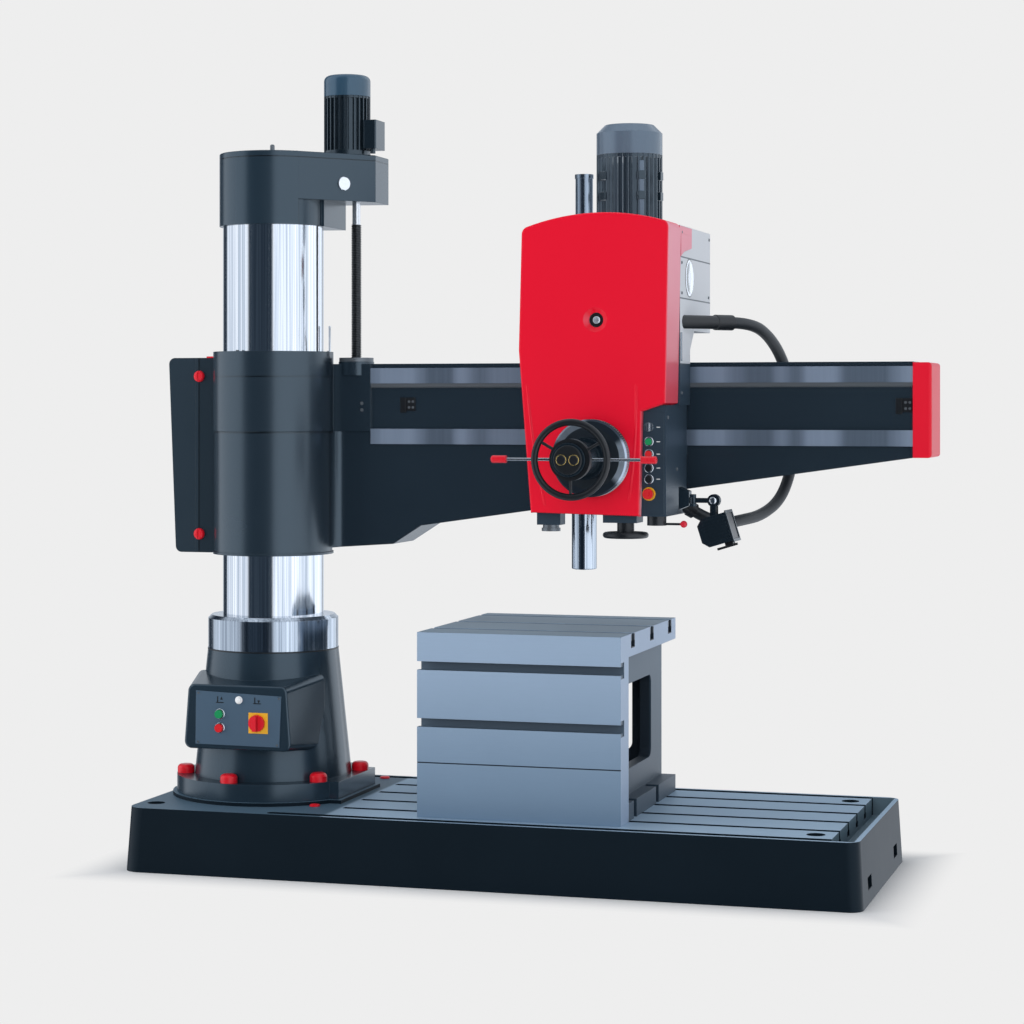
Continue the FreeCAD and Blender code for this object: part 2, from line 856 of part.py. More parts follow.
def cabinet_knob(z):
    x = column_x + latch_x
    front = -latch_dome - body_gap
    dome = bar_y(x, z, front, -body_gap, latch_r)
    dome = rounded(dome, latch_dome - 3, lambda e: all(abs(v.Y - front) < 0.01 for v in e.Vertexes))
    dome = dome.cut(block(x - 2, x + 2, front - 1, front + 4, z - latch_r, z + latch_r))
    stem = bar_y(x, z, -body_gap, cabinet_wall + 6, 6)
    cam = block(x - 4, x + 4, cabinet_wall + 1, cabinet_wall + 5, z - 14, z + 14)
    return fuse(dome, stem, cam)


# Head
def cover_outline(y):
    def at(p):
        return V(spindle_x + p[0], y, p[1])

    edges = [
        Part.LineSegment(at(cover_left_low), at(cover_left_mid)).toShape(),
        Part.LineSegment(at(cover_left_mid), at(cover_left_top)).toShape(),
        Part.Arc(at(cover_left_top), at(cover_crown), at(cover_right_top)).toShape(),
        Part.LineSegment(at(cover_right_top), at(cover_right_mid)).toShape(),
        Part.LineSegment(at(cover_right_mid), at(cover_notch)).toShape(),
        Part.LineSegment(at(cover_notch), at(cover_right_low)).toShape(),
        Part.LineSegment(at(cover_right_low), at(cover_left_low)).toShape(),
    ]
    return Part.Face(Part.Wire(edges))


def top_corner(e):
    a, b = e.Vertexes[0].Point, e.Vertexes[-1].Point
    along_y = abs(a.x - b.x) < 0.01 and abs(a.z - b.z) < 0.01 and abs(a.y - b.y) > 1
    return along_y and a.z > cover_left_top[1] - 20


def cover_solid(y0, y1, inset):
    shape = cover_outline(y0).extrude(V(0, y1 - y0, 0))
    shape = rounded(shape, cover_corner, top_corner)
    if not inset:
        return shape
    face = min(shape.Faces, key=lambda f: f.CenterOfMass.y)
    return Part.Face(face.OuterWire.makeOffset2D(-inset)).extrude(V(0, y1 - y0, 0))


def cover_room(y0, y1):
    room = cover_solid(y0, y1, cover_wall)
    left = spindle_x + cover_left_low[0] + cover_wall
    right = spindle_x + cover_right_low[0] - cover_wall
    mouth = block(left, right, y0, y1, head_bottom - 10, cover_left_low[1] + 10)
    return fuse(room, mouth.common(cover_solid(y0, y1, 0)))


def head_front_block():
    sx = spindle_x
    front = cover_room(head_front, head_step_y)
    front = front.common(block(sx - 400, sx + 500, -400, 0, head_bottom, head_top))
    x0, x1 = sx + cover_right_low[0] - 20, sx + head_right
    panel = block(x0, x1, head_front, head_step_y, head_bottom, head_wide_z)
    return fuse(front, panel)


def guide_lip(section, grow):
    gap = body_gap
    (y0, za), (_, zb), (y1, zc), _ = section
    out = 1 if zb > za else -1
    lip = [(y0 - 6, zb + out * gap), (y0 - gap, zb + out * gap), (y1 - gap, zc + out * 2 * gap)]
    lip += [(y1 - gap, zb + out * grow), (y0 - 6, zb + out * grow)]
    return slab_x(lip, spindle_x + head_left, spindle_x + head_right)


def head_casting():
    sx = spindle_x
    x0, x1, x2 = sx + head_left, sx + head_right, sx + head_wide_right
    face = arm_front - body_gap
    body = fuse(head_front_block(), block(x0, x1, head_step_y, face, head_bottom, head_top))
    body = body.fuse(block(x1 - 50, x2, head_step_y, face, head_wide_z, head_top))
    body = body.fuse(block(x0, x2, face - 1, head_back, head_over_arm, head_top))
    strut = [(face - 1, head_over_arm + 1), (face + 64, head_over_arm + 1), (face - 1, head_over_arm - 64)]
    body = body.fuse(slab_x(strut, x2 - 20, x2)).fuse(slab_x(strut, x0, x0 + 20))
    body = body.fuse(guide_lip(upper_rail_section(), 20)).fuse(guide_lip(lower_rail_section(), 30))
    for (bx, bw, bh), depth in ((knob_block, 60), (wheel_block, 90)):
        y0, y1 = under_y - depth / 2, under_y + depth / 2
        a, b = sx + bx - bw / 2, sx + bx + bw / 2
        body = body.fuse(block(a, b, y0, y1, head_bottom - bh, head_bottom + 20))
    quill_hole = post(sx, 0, head_bottom - 1, quill_hole_top, quill_r + running_fit)
    shaft_hole = post(sx, 0, quill_hole_top - 1, head_top + 1, guard_bore_r)
    hub = bar_y(sx + hub_x, hub_z, head_front - 1, hub_shaft_end, hub_shaft_r + running_fit)
    stem = bar_y(sx + hub_x, hub_z, head_front - 1, post_end, post_stem_r + press_gap)
    body = body.cut([quill_hole, shaft_hole, hub, stem, gear_room()])
    body = body.cut(under_bores() + panel_bores())
    return body.removeSplitter()


def gear_room():
    (x0, x1), (y0, y1), (z0, z1) = gear_room_x, gear_room_y, gear_room_z
    return block(spindle_x + x0, spindle_x + x1, y0, y1, z0, z1)


def under_bores():
    sx = spindle_x
    f = running_fit
    return [
        post(sx + knob_block[0], under_y, head_bottom - 60, head_bottom + 40, 8 + f),
        post(sx + fine_x, under_y, head_bottom - 60, head_bottom + 60, 12 + f),
        post(sx + control_hub_x, under_y, head_bottom - 1, head_bottom + 40, 10 + f),
    ]


def panel_bores():
    x = spindle_x + control_x
    y0, y1 = head_front - 1, head_front + 40
    return [bar_y(x, z, y0, y1, button_stem_r + running_fit) for z in control_heights.values()]


def front_cover():
    sx = spindle_x
    cover = cover_solid(cover_y, head_step_y, 0)
    cover = rounded(cover, 7, lambda e: all(abs(v.Y - cover_y) < 0.01 for v in e.Vertexes))
    boss = bar_y(sx + cover_hole[0], cover_hole[1], cover_y + 1, head_front - 2, cover_dish_r + 6)
    cover = cover.cut(cover_room(cover_y + cover_wall, head_step_y + 1)).fuse(boss)
    x0, x1 = sx + cover_right_low[0] - 20, sx + head_right + 40
    cover = cover.cut(block(x0, x1, head_front, 0, head_bottom - 1, head_wide_z))
    dish_at = V(sx + cover_hole[0], cover_y - 0.01, cover_hole[1])
    dish = Part.makeCone(cover_dish_r, cover_hole_r, 14, dish_at, V(0, 1, 0))
    hole = bar_y(sx + cover_hole[0], cover_hole[1], cover_y - 5, 0, cover_hole_r)
    hub_hole = bar_y(sx + hub_x, hub_z, cover_y - 5, 0, hub_shaft_r + 8)
    cover = cover.cut([dish, hole, hub_hole])
    top = cover_right_top[1] - cover_corner
    y0, y1 = head_step_y - 1, arm_front
    tab = [(y0, cover_tab_low), (y1, cover_tab_high), (y1, top), (y0, top)]
    edge = sx + cover_right_top[0]
    return cover.fuse(slab_x(tab, edge - cover_wall, edge)).removeSplitter()


def panel_plate():
    sx = spindle_x
    x0, x1 = sx + cover_notch[0] + 2, sx + head_right - 6
    plate = block(x0, x1, head_front - plate_thickness, head_front, head_bottom + 6, cover_notch[1] - 4)
    plate = rounded(plate, 3, lambda e: abs(e.Vertexes[0].Y - e.Vertexes[-1].Y) > plate_thickness / 2)
    for z in control_heights.values():
        plate = plate.cut(bar_y(sx + control_x, z, head_front - 9, head_front + 9, button_stem_r + 3))
    return plate


def guard_tube():
    tube = pipe(spindle_x, 0, head_top, guard_top, guard_r, guard_bore_r)
    z0 = guard_top - guard_collar_height
    collar = pipe(spindle_x, 0, z0, guard_top, guard_collar_r, guard_bore_r)
    lid = post(spindle_x, 0, guard_top - 4, guard_top, guard_collar_r)
    return fuse(tube, collar, lid)


def quill():
    tube = pipe(spindle_x, 0, quill_bottom, quill_top, quill_r, quill_bore_r)
    return bevelled(tube, 1.5, lambda e: at_height(quill_bottom)(e) and e.BoundBox.XLength > quill_r * 1.9)


def spindle():
    nose = post(spindle_x, 0, quill_bottom - 2, quill_top, quill_bore_r - running_fit)
    shaft = post(spindle_x, 0, quill_top, spindle_shaft_top, spindle_shaft_r)
    z = quill_bottom - 2
    socket = taper(spindle_x, 0, z, z + taper_depth, taper_mouth_r, taper_end_r)
    drift = block(spindle_x - 60, spindle_x + 60, -6, 6, z + taper_depth - 18, z + taper_depth + 14)
    return fuse(nose, shaft).cut(socket).cut(drift)


def motor_seat():
    return spindle_x + motor_x, motor_y


def main_motor_body():
    x, y = motor_seat()
    z0, z1 = head_top, head_top + motor_body_height
    body = finned(x, y, z0, z1, motor_r, motor_r - 13, 36, 6)
    body = fuse(body, post(x, y, z0, z0 + 16, motor_r), post(x, y, z1 - 12, z1, motor_r - 3))
    room = post(x, y, z0 + 14, z1 - 14, 72)
    shaft = post(x, y, z0 + 8, z1 + 1, 20 + running_fit)
    return body.cut(room).cut(shaft)


def main_motor_cowl():
    x, y = motor_seat()
    z0 = head_top + motor_body_height
    z1 = z0 + motor_cowl_height
    cowl = bevelled(post(x, y, z0, z1, motor_r), motor_cowl_corner, at_height(z1))
    return cowl.cut(post(x, y, z0 - 1, z1 - motor_cowl_corner - 4, motor_r - 4))


def main_motor_rotor():
    x, y = motor_seat()
    z0, z1 = head_top, head_top + motor_body_height
    shaft = post(x, y, z0 + 8 + body_gap, z1 + 60, 20)
    core = post(x, y, z0 + 30, z1 - 30, 70)
    rotor = fuse(shaft, core, post(x, y, z1 + 20, z1 + 26, 92))
    for k in range(6):
        blade = block(x + 25, x + 90, y - 2, y + 2, z1 + 24, z1 + 52)
        blade.rotate(V(x, y, 0), V(0, 0, 1), 60.0 * k)
        rotor = rotor.fuse(blade)
    return rotor.removeSplitter()


# Feed hub
def hub_at():
    return spindle_x + hub_x, hub_z


def feed_hub():
    x, z = hub_at()
    dial_front = cover_y - dial_gap - dial_depth
    shaft = bar_y(x, z, dial_front, hub_shaft_end - body_gap, hub_shaft_r)
    drum = bar_y(x, z, hub_front, hub_base_y, hub_r)
    base = bar_y(x, z, hub_base_y, dial_front, hub_base_r)
    neck = bar_y(x, z, dial_front, cover_y - dial_gap, dial_bore_r - press_gap)
    hub = fuse(shaft, drum, base, neck)
    hub = hub.cut(bar_y(x, z, hub_front - 1, 0, post_stem_r + running_fit))
    hub = hub.cut(bar_y(x, z, hub_front - 1, hub_front + 12, post_r + body_gap))
    for side in (-1, 1):
        a, b = sorted((x + side * (lever_pivot - lever_eye_r - 5), x + side * (hub_r + 2)))
        half = lever_eye_width / 2 + body_gap
        slot = block(a, b, lever_y - lever_eye_r - 7, lever_y + lever_eye_r + 7, z - half, z + half)
        hub = hub.cut(slot)
        hub = hub.fuse(post(x + side * lever_pivot, lever_y, z - half - 1, z + half + 1, lever_pin_r))
    return hub.removeSplitter()


def feed_dial():
    x, z = hub_at()
    y0, y1 = cover_y - dial_gap - dial_depth, cover_y - dial_gap
    dial = bar_y(x, z, y0, y1, dial_r)
    dial = dial.makeChamfer(6, [e for e in dial.Edges if all(abs(v.Y - y0) < 0.01 for v in e.Vertexes)])
    return dial.cut(bar_y(x, z, y0 - 1, y1 + 1, dial_bore_r))


def feed_lever(side):
    x, z = hub_at()
    px = x + side * lever_pivot
    eye = post(px, lever_y, z - lever_eye_width / 2, z + lever_eye_width / 2, lever_eye_r)
    a, b = sorted((px, x + side * (lever_reach - 4)))
    rod = bar_x(lever_y, z, a, b, lever_r)
    a, b = sorted((x + side * (lever_reach - lever_knob_length), x + side * lever_reach))
    knob = bar_x(lever_y, z, a, b, lever_knob_r)
    knob = rounded(knob, 7, lambda e: abs(e.Vertexes[0].X - (x + side * lever_reach)) < 0.01)
    lever = fuse(eye, rod, knob)
    return lever.cut(post(px, lever_y, z - lever_eye_width, z + lever_eye_width, lever_pin_r + running_fit))


def traverse_handwheel():
    x, z = hub_at()
    rim = Part.makeTorus(wheel_r - wheel_rim_r, wheel_rim_r, V(x, wheel_y, z), V(0, 1, 0))
    half = wheel_hub_width / 2
    bore = bar_y(x, z, wheel_y - half - 1, wheel_y + half + 1, hub_r + running_fit)
    ring = bar_y(x, z, wheel_y - half, wheel_y + half, wheel_hub_r).cut(bore)
    wheel = rim.fuse(ring)
    for k in range(3):
        spoke = bar_x(wheel_y, z, x + hub_r + 5, x + wheel_r - wheel_rim_r, wheel_spoke_r)
        spoke.rotate(V(x, 0, z), V(0, 1, 0), 90.0 + 120.0 * k)
        wheel = wheel.fuse(spoke)
    return wheel.removeSplitter()


def hub_button_places():
    x, z = hub_at()
    return [(x - hub_button_pitch / 2, z), (x + hub_button_pitch / 2, z)]


def hub_button_post():
    x, z = hub_at()
    y0 = hub_front - 8
    disc = bar_y(x, z, y0, hub_front + 12 - body_gap, post_r)
    disc = disc.makeChamfer(2, [e for e in disc.Edges if all(abs(v.Y - y0) < 0.01 for v in e.Vertexes)])
    shape = fuse(disc, bar_y(x, z, hub_front, post_end - press_gap, post_stem_r))
    for bx, bz in hub_button_places():
        shape = shape.cut(bar_y(bx, bz, y0 - 1, y0 + 14, hub_button_r + running_fit))
    return shape


def hub_button(place):
    y0 = hub_front - 8
    button = bar_y(place[0], place[1], y0 - 3, y0 + 9, hub_button_r)
    return bevelled(button, 1.5, lambda e: all(abs(v.Y - y0 + 3) < 0.01 for v in e.Vertexes))


# Controls
def panel_button(name, r, proud):
    x, z = spindle_x + control_x, control_heights[name]
    face = head_front - plate_thickness
    return push_button(x, z, face, r, button_stem_r, proud, button_travel)


def panel_selector():
    x, z = spindle_x + control_x, control_heights["panel_selector"]
    face = head_front - plate_thickness - body_gap
    base = bar_y(x, z, face - 8, face, 15)
    grip = block(x - 3.5, x + 3.5, face - 20, face - 8, z - 13, z + 13)
    return fuse(base, grip, bar_y(x, z, face, head_front + 30, button_stem_r))


def fine_feed_handwheel():
    x = spindle_x + fine_x
    z0 = fine_top - fine_height
    r = fine_height / 2
    rim = Part.makeTorus(fine_r - r, r, V(x, under_y, z0 + r), V(0, 0, 1))
    web = post(x, under_y, z0 + r - 4, z0 + r + 4, fine_r - r)
    stem = post(x, under_y, z0 + 4, head_bottom - wheel_block[2] - body_gap, fine_stem_r)
    return fuse(rim, web, stem, post(x, under_y, fine_top, head_bottom + 40, 12))


def speed_knob():
    x = spindle_x + knob_block[0]
    top = head_bottom - knob_block[2] - body_gap
    upper = post(x, under_y, top - knob_height / 2, top, knob_r - 4)
    lower = post(x, under_y, top - knob_height, top - knob_height / 2, knob_r)
    return fuse(lower, upper, post(x, under_y, top, head_bottom + 30, 8))


def control_lever():
    x = spindle_x + control_hub_x
    top = head_bottom - body_gap
    hub = post(x, under_y, top - control_hub_height, top, control_hub_r)
    z = top - control_hub_height + 5
    rod = bar_x(under_y, z, x, x + control_reach, 4)
    ball = Part.makeSphere(control_ball_r, V(x + control_reach, under_y, z))
    return fuse(hub, rod, ball, post(x, under_y, top, head_bottom + 30, 10))


# Work lamp
def lamp_bracket():
    sx = spindle_x
    z0, z1 = lamp_plate
    x0, x1 = sx + head_right, sx + head_right + lamp_plate_depth
    side = [(x0, z0 - 6), (x0, z1 + 6), (x1, z1 - 8), (x1, z0 + 8)]
    body = slab_y(side, lamp_y - 20, lamp_y + 20)
    px = sx + lamp_pivot
    for ear in (lamp_z + 10, lamp_z - 20):
        body = body.fuse(block(x1 - 2, px, lamp_y - 10, lamp_y + 10, ear, ear + 10))
        body = body.fuse(post(px, lamp_y, ear, ear + 10, 10))
    return body.fuse(post(px, lamp_y, lamp_z - 20, lamp_z + 20, lamp_pin_r)).removeSplitter()


def lamp_arm():
    px, bx = spindle_x + lamp_pivot, spindle_x + lamp_tilt_x
    g = body_gap
    eye = post(px, lamp_y, lamp_z - 10 + g, lamp_z + 10 - g, 10)
    link = block(px, bx, lamp_y - 7, lamp_y + 7, lamp_z - 8, lamp_z + 8)
    disc = bar_y(bx, lamp_z, lamp_y - 13, lamp_y + 13, 21)
    arm = fuse(eye, link, disc)
    arm = arm.cut(post(px, lamp_y, lamp_z - 30, lamp_z + 30, lamp_pin_r + running_fit))
    return arm.cut(bar_y(bx, lamp_z, lamp_y - 30, lamp_y + 30, lamp_pin_r + running_fit))


def lamp_head():
    bx = spindle_x + lamp_tilt_x
    dx, dy, dz = lamp_size
    xc, zc = bx + lamp_out, lamp_z - lamp_drop
    x0, x1 = xc - dx / 2, xc + dx / 2
    y0 = lamp_y + lamp_side - dy / 2
    y1 = y0 + dy
    z0, z1 = zc - dz / 2, zc + dz / 2
    w = lamp_wall
    body = block(x0, x1, y0, y1, z0, z1)
    body = bevelled(body, lamp_corner, lambda e: abs(e.BoundBox.YLength - dy) < 1 and e.Vertexes[0].X < xc)
    room = block(x0 + 2 * lamp_corner, x1 + 1, y0 + w, y1 - w, z0 + w, z1 - w)
    rim = block(x1 - 4, x1, y0 - w, y1 + w, z0 - w, z1 + w)
    body = body.fuse(rim).cut(room)
    body.rotate(V(xc, 0, zc), V(0, 1, 0), -lamp_lean)
    for y in (lamp_y - 13 - body_gap - 6, lamp_y + 13 + body_gap):
        body = body.fuse(bar_y(bx, lamp_z, y, y + 6, 13))
        body = body.fuse(block(bx - 10, bx + 10, y, y + 6, z1 - 4, lamp_z))
    return body.fuse(bar_y(bx, lamp_z, lamp_y - 16, lamp_y + 16, lamp_pin_r)).removeSplitter()


# Hose
def along(start, way, distance):
    n = V(*way).normalize()
    return V(start[0] + spindle_x, start[1], start[2]) + n * distance


def hose_spout(start, way, length, plane):
    n = V(*way).normalize()
    begin = along(start, way, -60)
    sleeve = Part.makeCylinder(hose_r + 3, 60 + length, begin, n)
    grip = min(hose_collar_length, length / 2)
    collar = Part.makeCylinder(hose_collar_r, grip, along(start, way, length - grip), n)
    spout = sleeve.fuse(collar)
    spout = spout.cut(block(plane - 200, plane, -400, 400, 1000, 2300))
    return spout.cut(Part.makeCylinder(hose_bore_r, 400, begin, n))


def hose_fittings():
    upper = hose_spout(hose_upper, hose_upper_way, hose_upper_length, spindle_x + head_wide_right)
    lower = hose_spout(hose_lower, hose_lower_way, hose_lower_length, spindle_x + head_right)
    return Part.makeCompound([upper, lower])


def hose_route():
    start = along(hose_upper, hose_upper_way, hose_upper_length)
    end = along(hose_lower, hose_lower_way, hose_lower_length)
    middle = [V(spindle_x + x, y, z) for x, y, z in hose_bends]
    first = along(hose_upper, hose_upper_way, hose_upper_length + hose_first)
    last = along(hose_lower, hose_lower_way, hose_lower_length + hose_last)
    return [start, first] + middle + [last, end]


def hose():
    points = hose_route()
    runs = [(b - a).Length for a, b in zip(points, points[1:])]
    edges = []
    last = points[0]
    length = 0.0
    for i in range(1, len(points) - 1):
        a = (points[i - 1] - points[i]).normalize()
        b = (points[i + 1] - points[i]).normalize()
        turn = math.pi - a.getAngle(b)
        back = 0.45 * min(runs[i - 1], runs[i])
        radius = back / math.tan(turn / 2)
        print("hose point", i, "turn", round(math.degrees(turn)), "radius", round(radius))
        p, q = points[i] + a * back, points[i] + b * back
        centre = points[i] + (a + b).normalize() * math.hypot(radius, back)
        mid = centre + (points[i] - centre).normalize() * radius
        edges.append(Part.LineSegment(last, p).toShape())
        edges.append(Part.Arc(p, mid, q).toShape())
        length += (p - last).Length + radius * turn
        last = q
    edges.append(Part.LineSegment(last, points[-1]).toShape())
    length += (points[-1] - last).Length
    path = Part.Wire(edges)
    way = (points[1] - points[0]).normalize()
    tube = path.makePipeShell([Part.Wire(Part.Circle(points[0], way, hose_r).toShape())], True, False)
    ratio = tube.Volume / (math.pi * hose_r**2 * length)
    print("hose length", round(length), "volume over section times length", round(ratio, 4))
    return tube


# Box table
def table_bounds():
    x0 = column_x + table_x0
    return x0, x0 + table_length


def box_table():
    x0, x1 = table_bounds()
    y0, y1 = table_y
    z0, z1 = base_height, table_top
    i, w = table_inset, table_wall
    body = block(x0 + i, x1 - i, y0 + 1, y1, z0, z1)
    body = body.fuse(block(x0, x1, y0, y1, z1 - table_plate, z1))
    body = body.fuse(block(x0, x1, y0, y0 + table_front, z0, z1))
    body = body.fuse(block(x0, x1, y0 + table_front - 1, y1, z0, z0 + foot_height))
    room = block(x0 + i + w, x1 - i - w, y0 + table_front + 10, y1 - w, z0 - 1, z1 - table_plate - 6)
    body = body.cut(room)
    window = block(x0 - 1, x1 + 1, window_y[0], window_y[1], window_z[0], window_z[1])
    window = rounded(window, window_corner, lambda e: abs(e.Vertexes[0].X - e.Vertexes[-1].X) > 10)
    body = body.cut(window)
    a, b = x0 + back_window_x[0], x0 + back_window_x[1]
    rear = block(a, b, y1 - w - 1, y1 + 1, window_z[0], window_z[1])
    body = body.cut(rounded(rear, window_corner, lambda e: abs(e.Vertexes[0].Y - e.Vertexes[-1].Y) > 10))
    z = front_groove_z
    body = body.cut(block(x0 - 1, x1 + 1, y0 - 1, y0 + front_groove, z, z + front_groove))
    cuts = [tee_slot_x(x0 - 1, x1 + 1, y, z1, table_slot_depth) for y in table_slots]
    for z in front_slots:
        slot = tee_slot_x(x0 - 1, x1 + 1, 0, 0, table_slot_depth)
        slot.rotate(V(0, 0, 0), V(1, 0, 0), 90)
        slot.translate(V(0, y0, z))
        cuts.append(slot)
    for y in foot_rows:
        for a, b in ((x0 - 1, x0 + foot_notch_depth), (x1 - foot_notch_depth, x1 + 1)):
            notch = block(a, b, y - foot_notch / 2, y + foot_notch / 2, z0 - 1, z0 + foot_height + 1)
            cuts.append(notch)
    return cut(body, *cuts).removeSplitter()


shapes = {
    "base_casting": base_casting,
    "pedestal_casting": pedestal_casting,
    "pedestal_plate": pedestal_plate,
    "pedestal_bolts": pedestal_bolts,
    "main_switch_knob": main_switch_knob,
    "pedestal_start_button": lambda: pedestal_button(start_place),
    "pedestal_stop_button": lambda: pedestal_button(stop_place),
    "inner_column": inner_column,
    "column_bearings": column_bearings,
    "outer_column": outer_column,
    "column_ring": column_ring,
    "cap_housing": cap_housing,
    "cap_cover": cap_cover,
    "lift_motor_body": lift_motor_body,
    "lift_motor_cowl": lift_motor_cowl,
    "lift_terminal_box": lift_terminal_box,
    "lead_screw": lead_screw,
    "arm_casting": arm_casting,
    "arm_upper_rail": lambda: arm_rail(upper_rail_section()),
    "arm_lower_rail": lambda: arm_rail(lower_rail_section()),
    "traverse_rack": traverse_rack,
    "arm_end_cap": arm_end_cap,
    "lift_nut": lift_nut,
    "cabinet_box": cabinet_box,
    "cabinet_door": cabinet_door,
    "cabinet_upper_knob": lambda: cabinet_knob(cabinet_top - latch_inset),
    "cabinet_lower_knob": lambda: cabinet_knob(cabinet_bottom + latch_inset),
    "head_casting": head_casting,
    "front_cover": front_cover,
    "panel_plate": panel_plate,
    "quill_guard_tube": guard_tube,
    "quill": quill,
    "spindle": spindle,
    "main_motor_body": main_motor_body,
    "main_motor_cowl": main_motor_cowl,
    "main_motor_rotor": main_motor_rotor,
    "feed_hub": feed_hub,
    "feed_dial": feed_dial,
    "feed_lever_left": lambda: feed_lever(-1),
    "feed_lever_right": lambda: feed_lever(1),
    "traverse_handwheel": traverse_handwheel,
    "hub_button_post": hub_button_post,
    "hub_clamp_button": lambda: hub_button(hub_button_places()[0]),
    "hub_release_button": lambda: hub_button(hub_button_places()[1]),
    "panel_selector": panel_selector,
    "panel_start_button": lambda: panel_button("panel_start_button", button_r, 8),
    "panel_stop_button": lambda: panel_button("panel_stop_button", button_r, 8),
    "panel_up_button": lambda: panel_button("panel_up_button", button_r, 8),
    "panel_down_button": lambda: panel_button("panel_down_button", button_r, 8),
    "emergency_stop": lambda: panel_button("emergency_stop", button_r + 6, 16),
    "fine_feed_handwheel": fine_feed_handwheel,
    "speed_knob": speed_knob,
    "control_lever": control_lever,
    "lamp_bracket": lamp_bracket,
    "lamp_arm": lamp_arm,
    "lamp_head": lamp_head,
    "hose_fittings": hose_fittings,
    "hose": hose,
    "box_table": box_table,
}

for name, build in shapes.items():
    build().exportStep("parts/" + name + ".step")
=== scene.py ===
import json
import math

import bmesh
import bpy
from mathutils import Matrix, Vector

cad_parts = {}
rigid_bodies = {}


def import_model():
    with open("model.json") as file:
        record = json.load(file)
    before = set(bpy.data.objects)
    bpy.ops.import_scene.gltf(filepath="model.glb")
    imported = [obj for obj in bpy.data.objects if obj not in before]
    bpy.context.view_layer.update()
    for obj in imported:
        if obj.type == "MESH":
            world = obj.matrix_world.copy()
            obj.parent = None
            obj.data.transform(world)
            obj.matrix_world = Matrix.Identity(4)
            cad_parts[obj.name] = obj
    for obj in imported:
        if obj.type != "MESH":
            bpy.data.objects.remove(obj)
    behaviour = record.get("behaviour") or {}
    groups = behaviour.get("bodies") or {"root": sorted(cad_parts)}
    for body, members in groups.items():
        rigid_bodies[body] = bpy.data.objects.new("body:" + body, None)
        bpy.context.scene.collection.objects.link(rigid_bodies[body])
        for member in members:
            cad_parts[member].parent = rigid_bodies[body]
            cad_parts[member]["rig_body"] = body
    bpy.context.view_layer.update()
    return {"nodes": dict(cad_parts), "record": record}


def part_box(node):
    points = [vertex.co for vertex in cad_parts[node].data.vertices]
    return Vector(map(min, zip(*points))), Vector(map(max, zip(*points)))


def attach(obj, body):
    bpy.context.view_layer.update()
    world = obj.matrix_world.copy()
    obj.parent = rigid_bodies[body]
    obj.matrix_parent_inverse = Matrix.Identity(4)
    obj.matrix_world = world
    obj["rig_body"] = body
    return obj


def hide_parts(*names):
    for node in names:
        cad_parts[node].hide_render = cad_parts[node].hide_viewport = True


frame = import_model()
nodes = frame["nodes"]

# Places, in metres. The numbers repeat those of the solids.
column_x = -0.887
spindle_x = 0.234
hub_x = spindle_x + 0.1025
hub_z = 1.3886
screw_x = column_x + 0.271
screw_y = 0.1
screw_r = 0.018
screw_low = 1.5
thread_top = 2.19
screw_top = 2.33
journal_r = 0.014
thread_pitch = 0.006
rack_low = 1.619
rack_top = 1.635
rack_pitch = 0.006283
arm_face = 0.05
web_face = 0.062
rack_back = 0.062
arm_start = column_x + 0.341
arm_end = column_x + 2.216
cover_face = -0.287
head_side = spindle_x + 0.353
panel_face = -0.259
table_slots = (-0.219, 0.049, 0.317)
front_slots = (0.523, 0.709)

hose_route = [
    (0.481, 0.1136, 1.836), (0.5387, 0.1827, 1.836), (0.580, 0.290, 1.790), (0.608, 0.388, 1.708),
    (0.628, 0.438, 1.590), (0.634, 0.448, 1.460), (0.626, 0.434, 1.335), (0.598, 0.380, 1.234),
    (0.550, 0.284, 1.184), (0.502, 0.172, 1.172), (0.443, 0.071, 1.160), (0.3727, 0.022, 1.207),
]


# Camera
azimuth = math.radians(16.44)
toward_camera = Vector((math.sin(azimuth), -math.cos(azimuth), 0))
to_the_right = Vector((math.cos(azimuth), math.sin(azimuth), 0))


def add_object(name, data):
    made = bpy.data.objects.new(name, data)
    bpy.context.scene.collection.objects.link(made)
    return made


camera = add_object("camera", bpy.data.cameras.new("camera"))
camera.location = (2.4164, -8.2546, 1.567)
camera.rotation_euler = (math.pi / 2, 0, azimuth)
camera.data.lens = 89.2
camera.data.sensor_width = 36
camera.data.shift_y = -0.1064
camera.data.clip_end = 100
bpy.context.scene.camera = camera


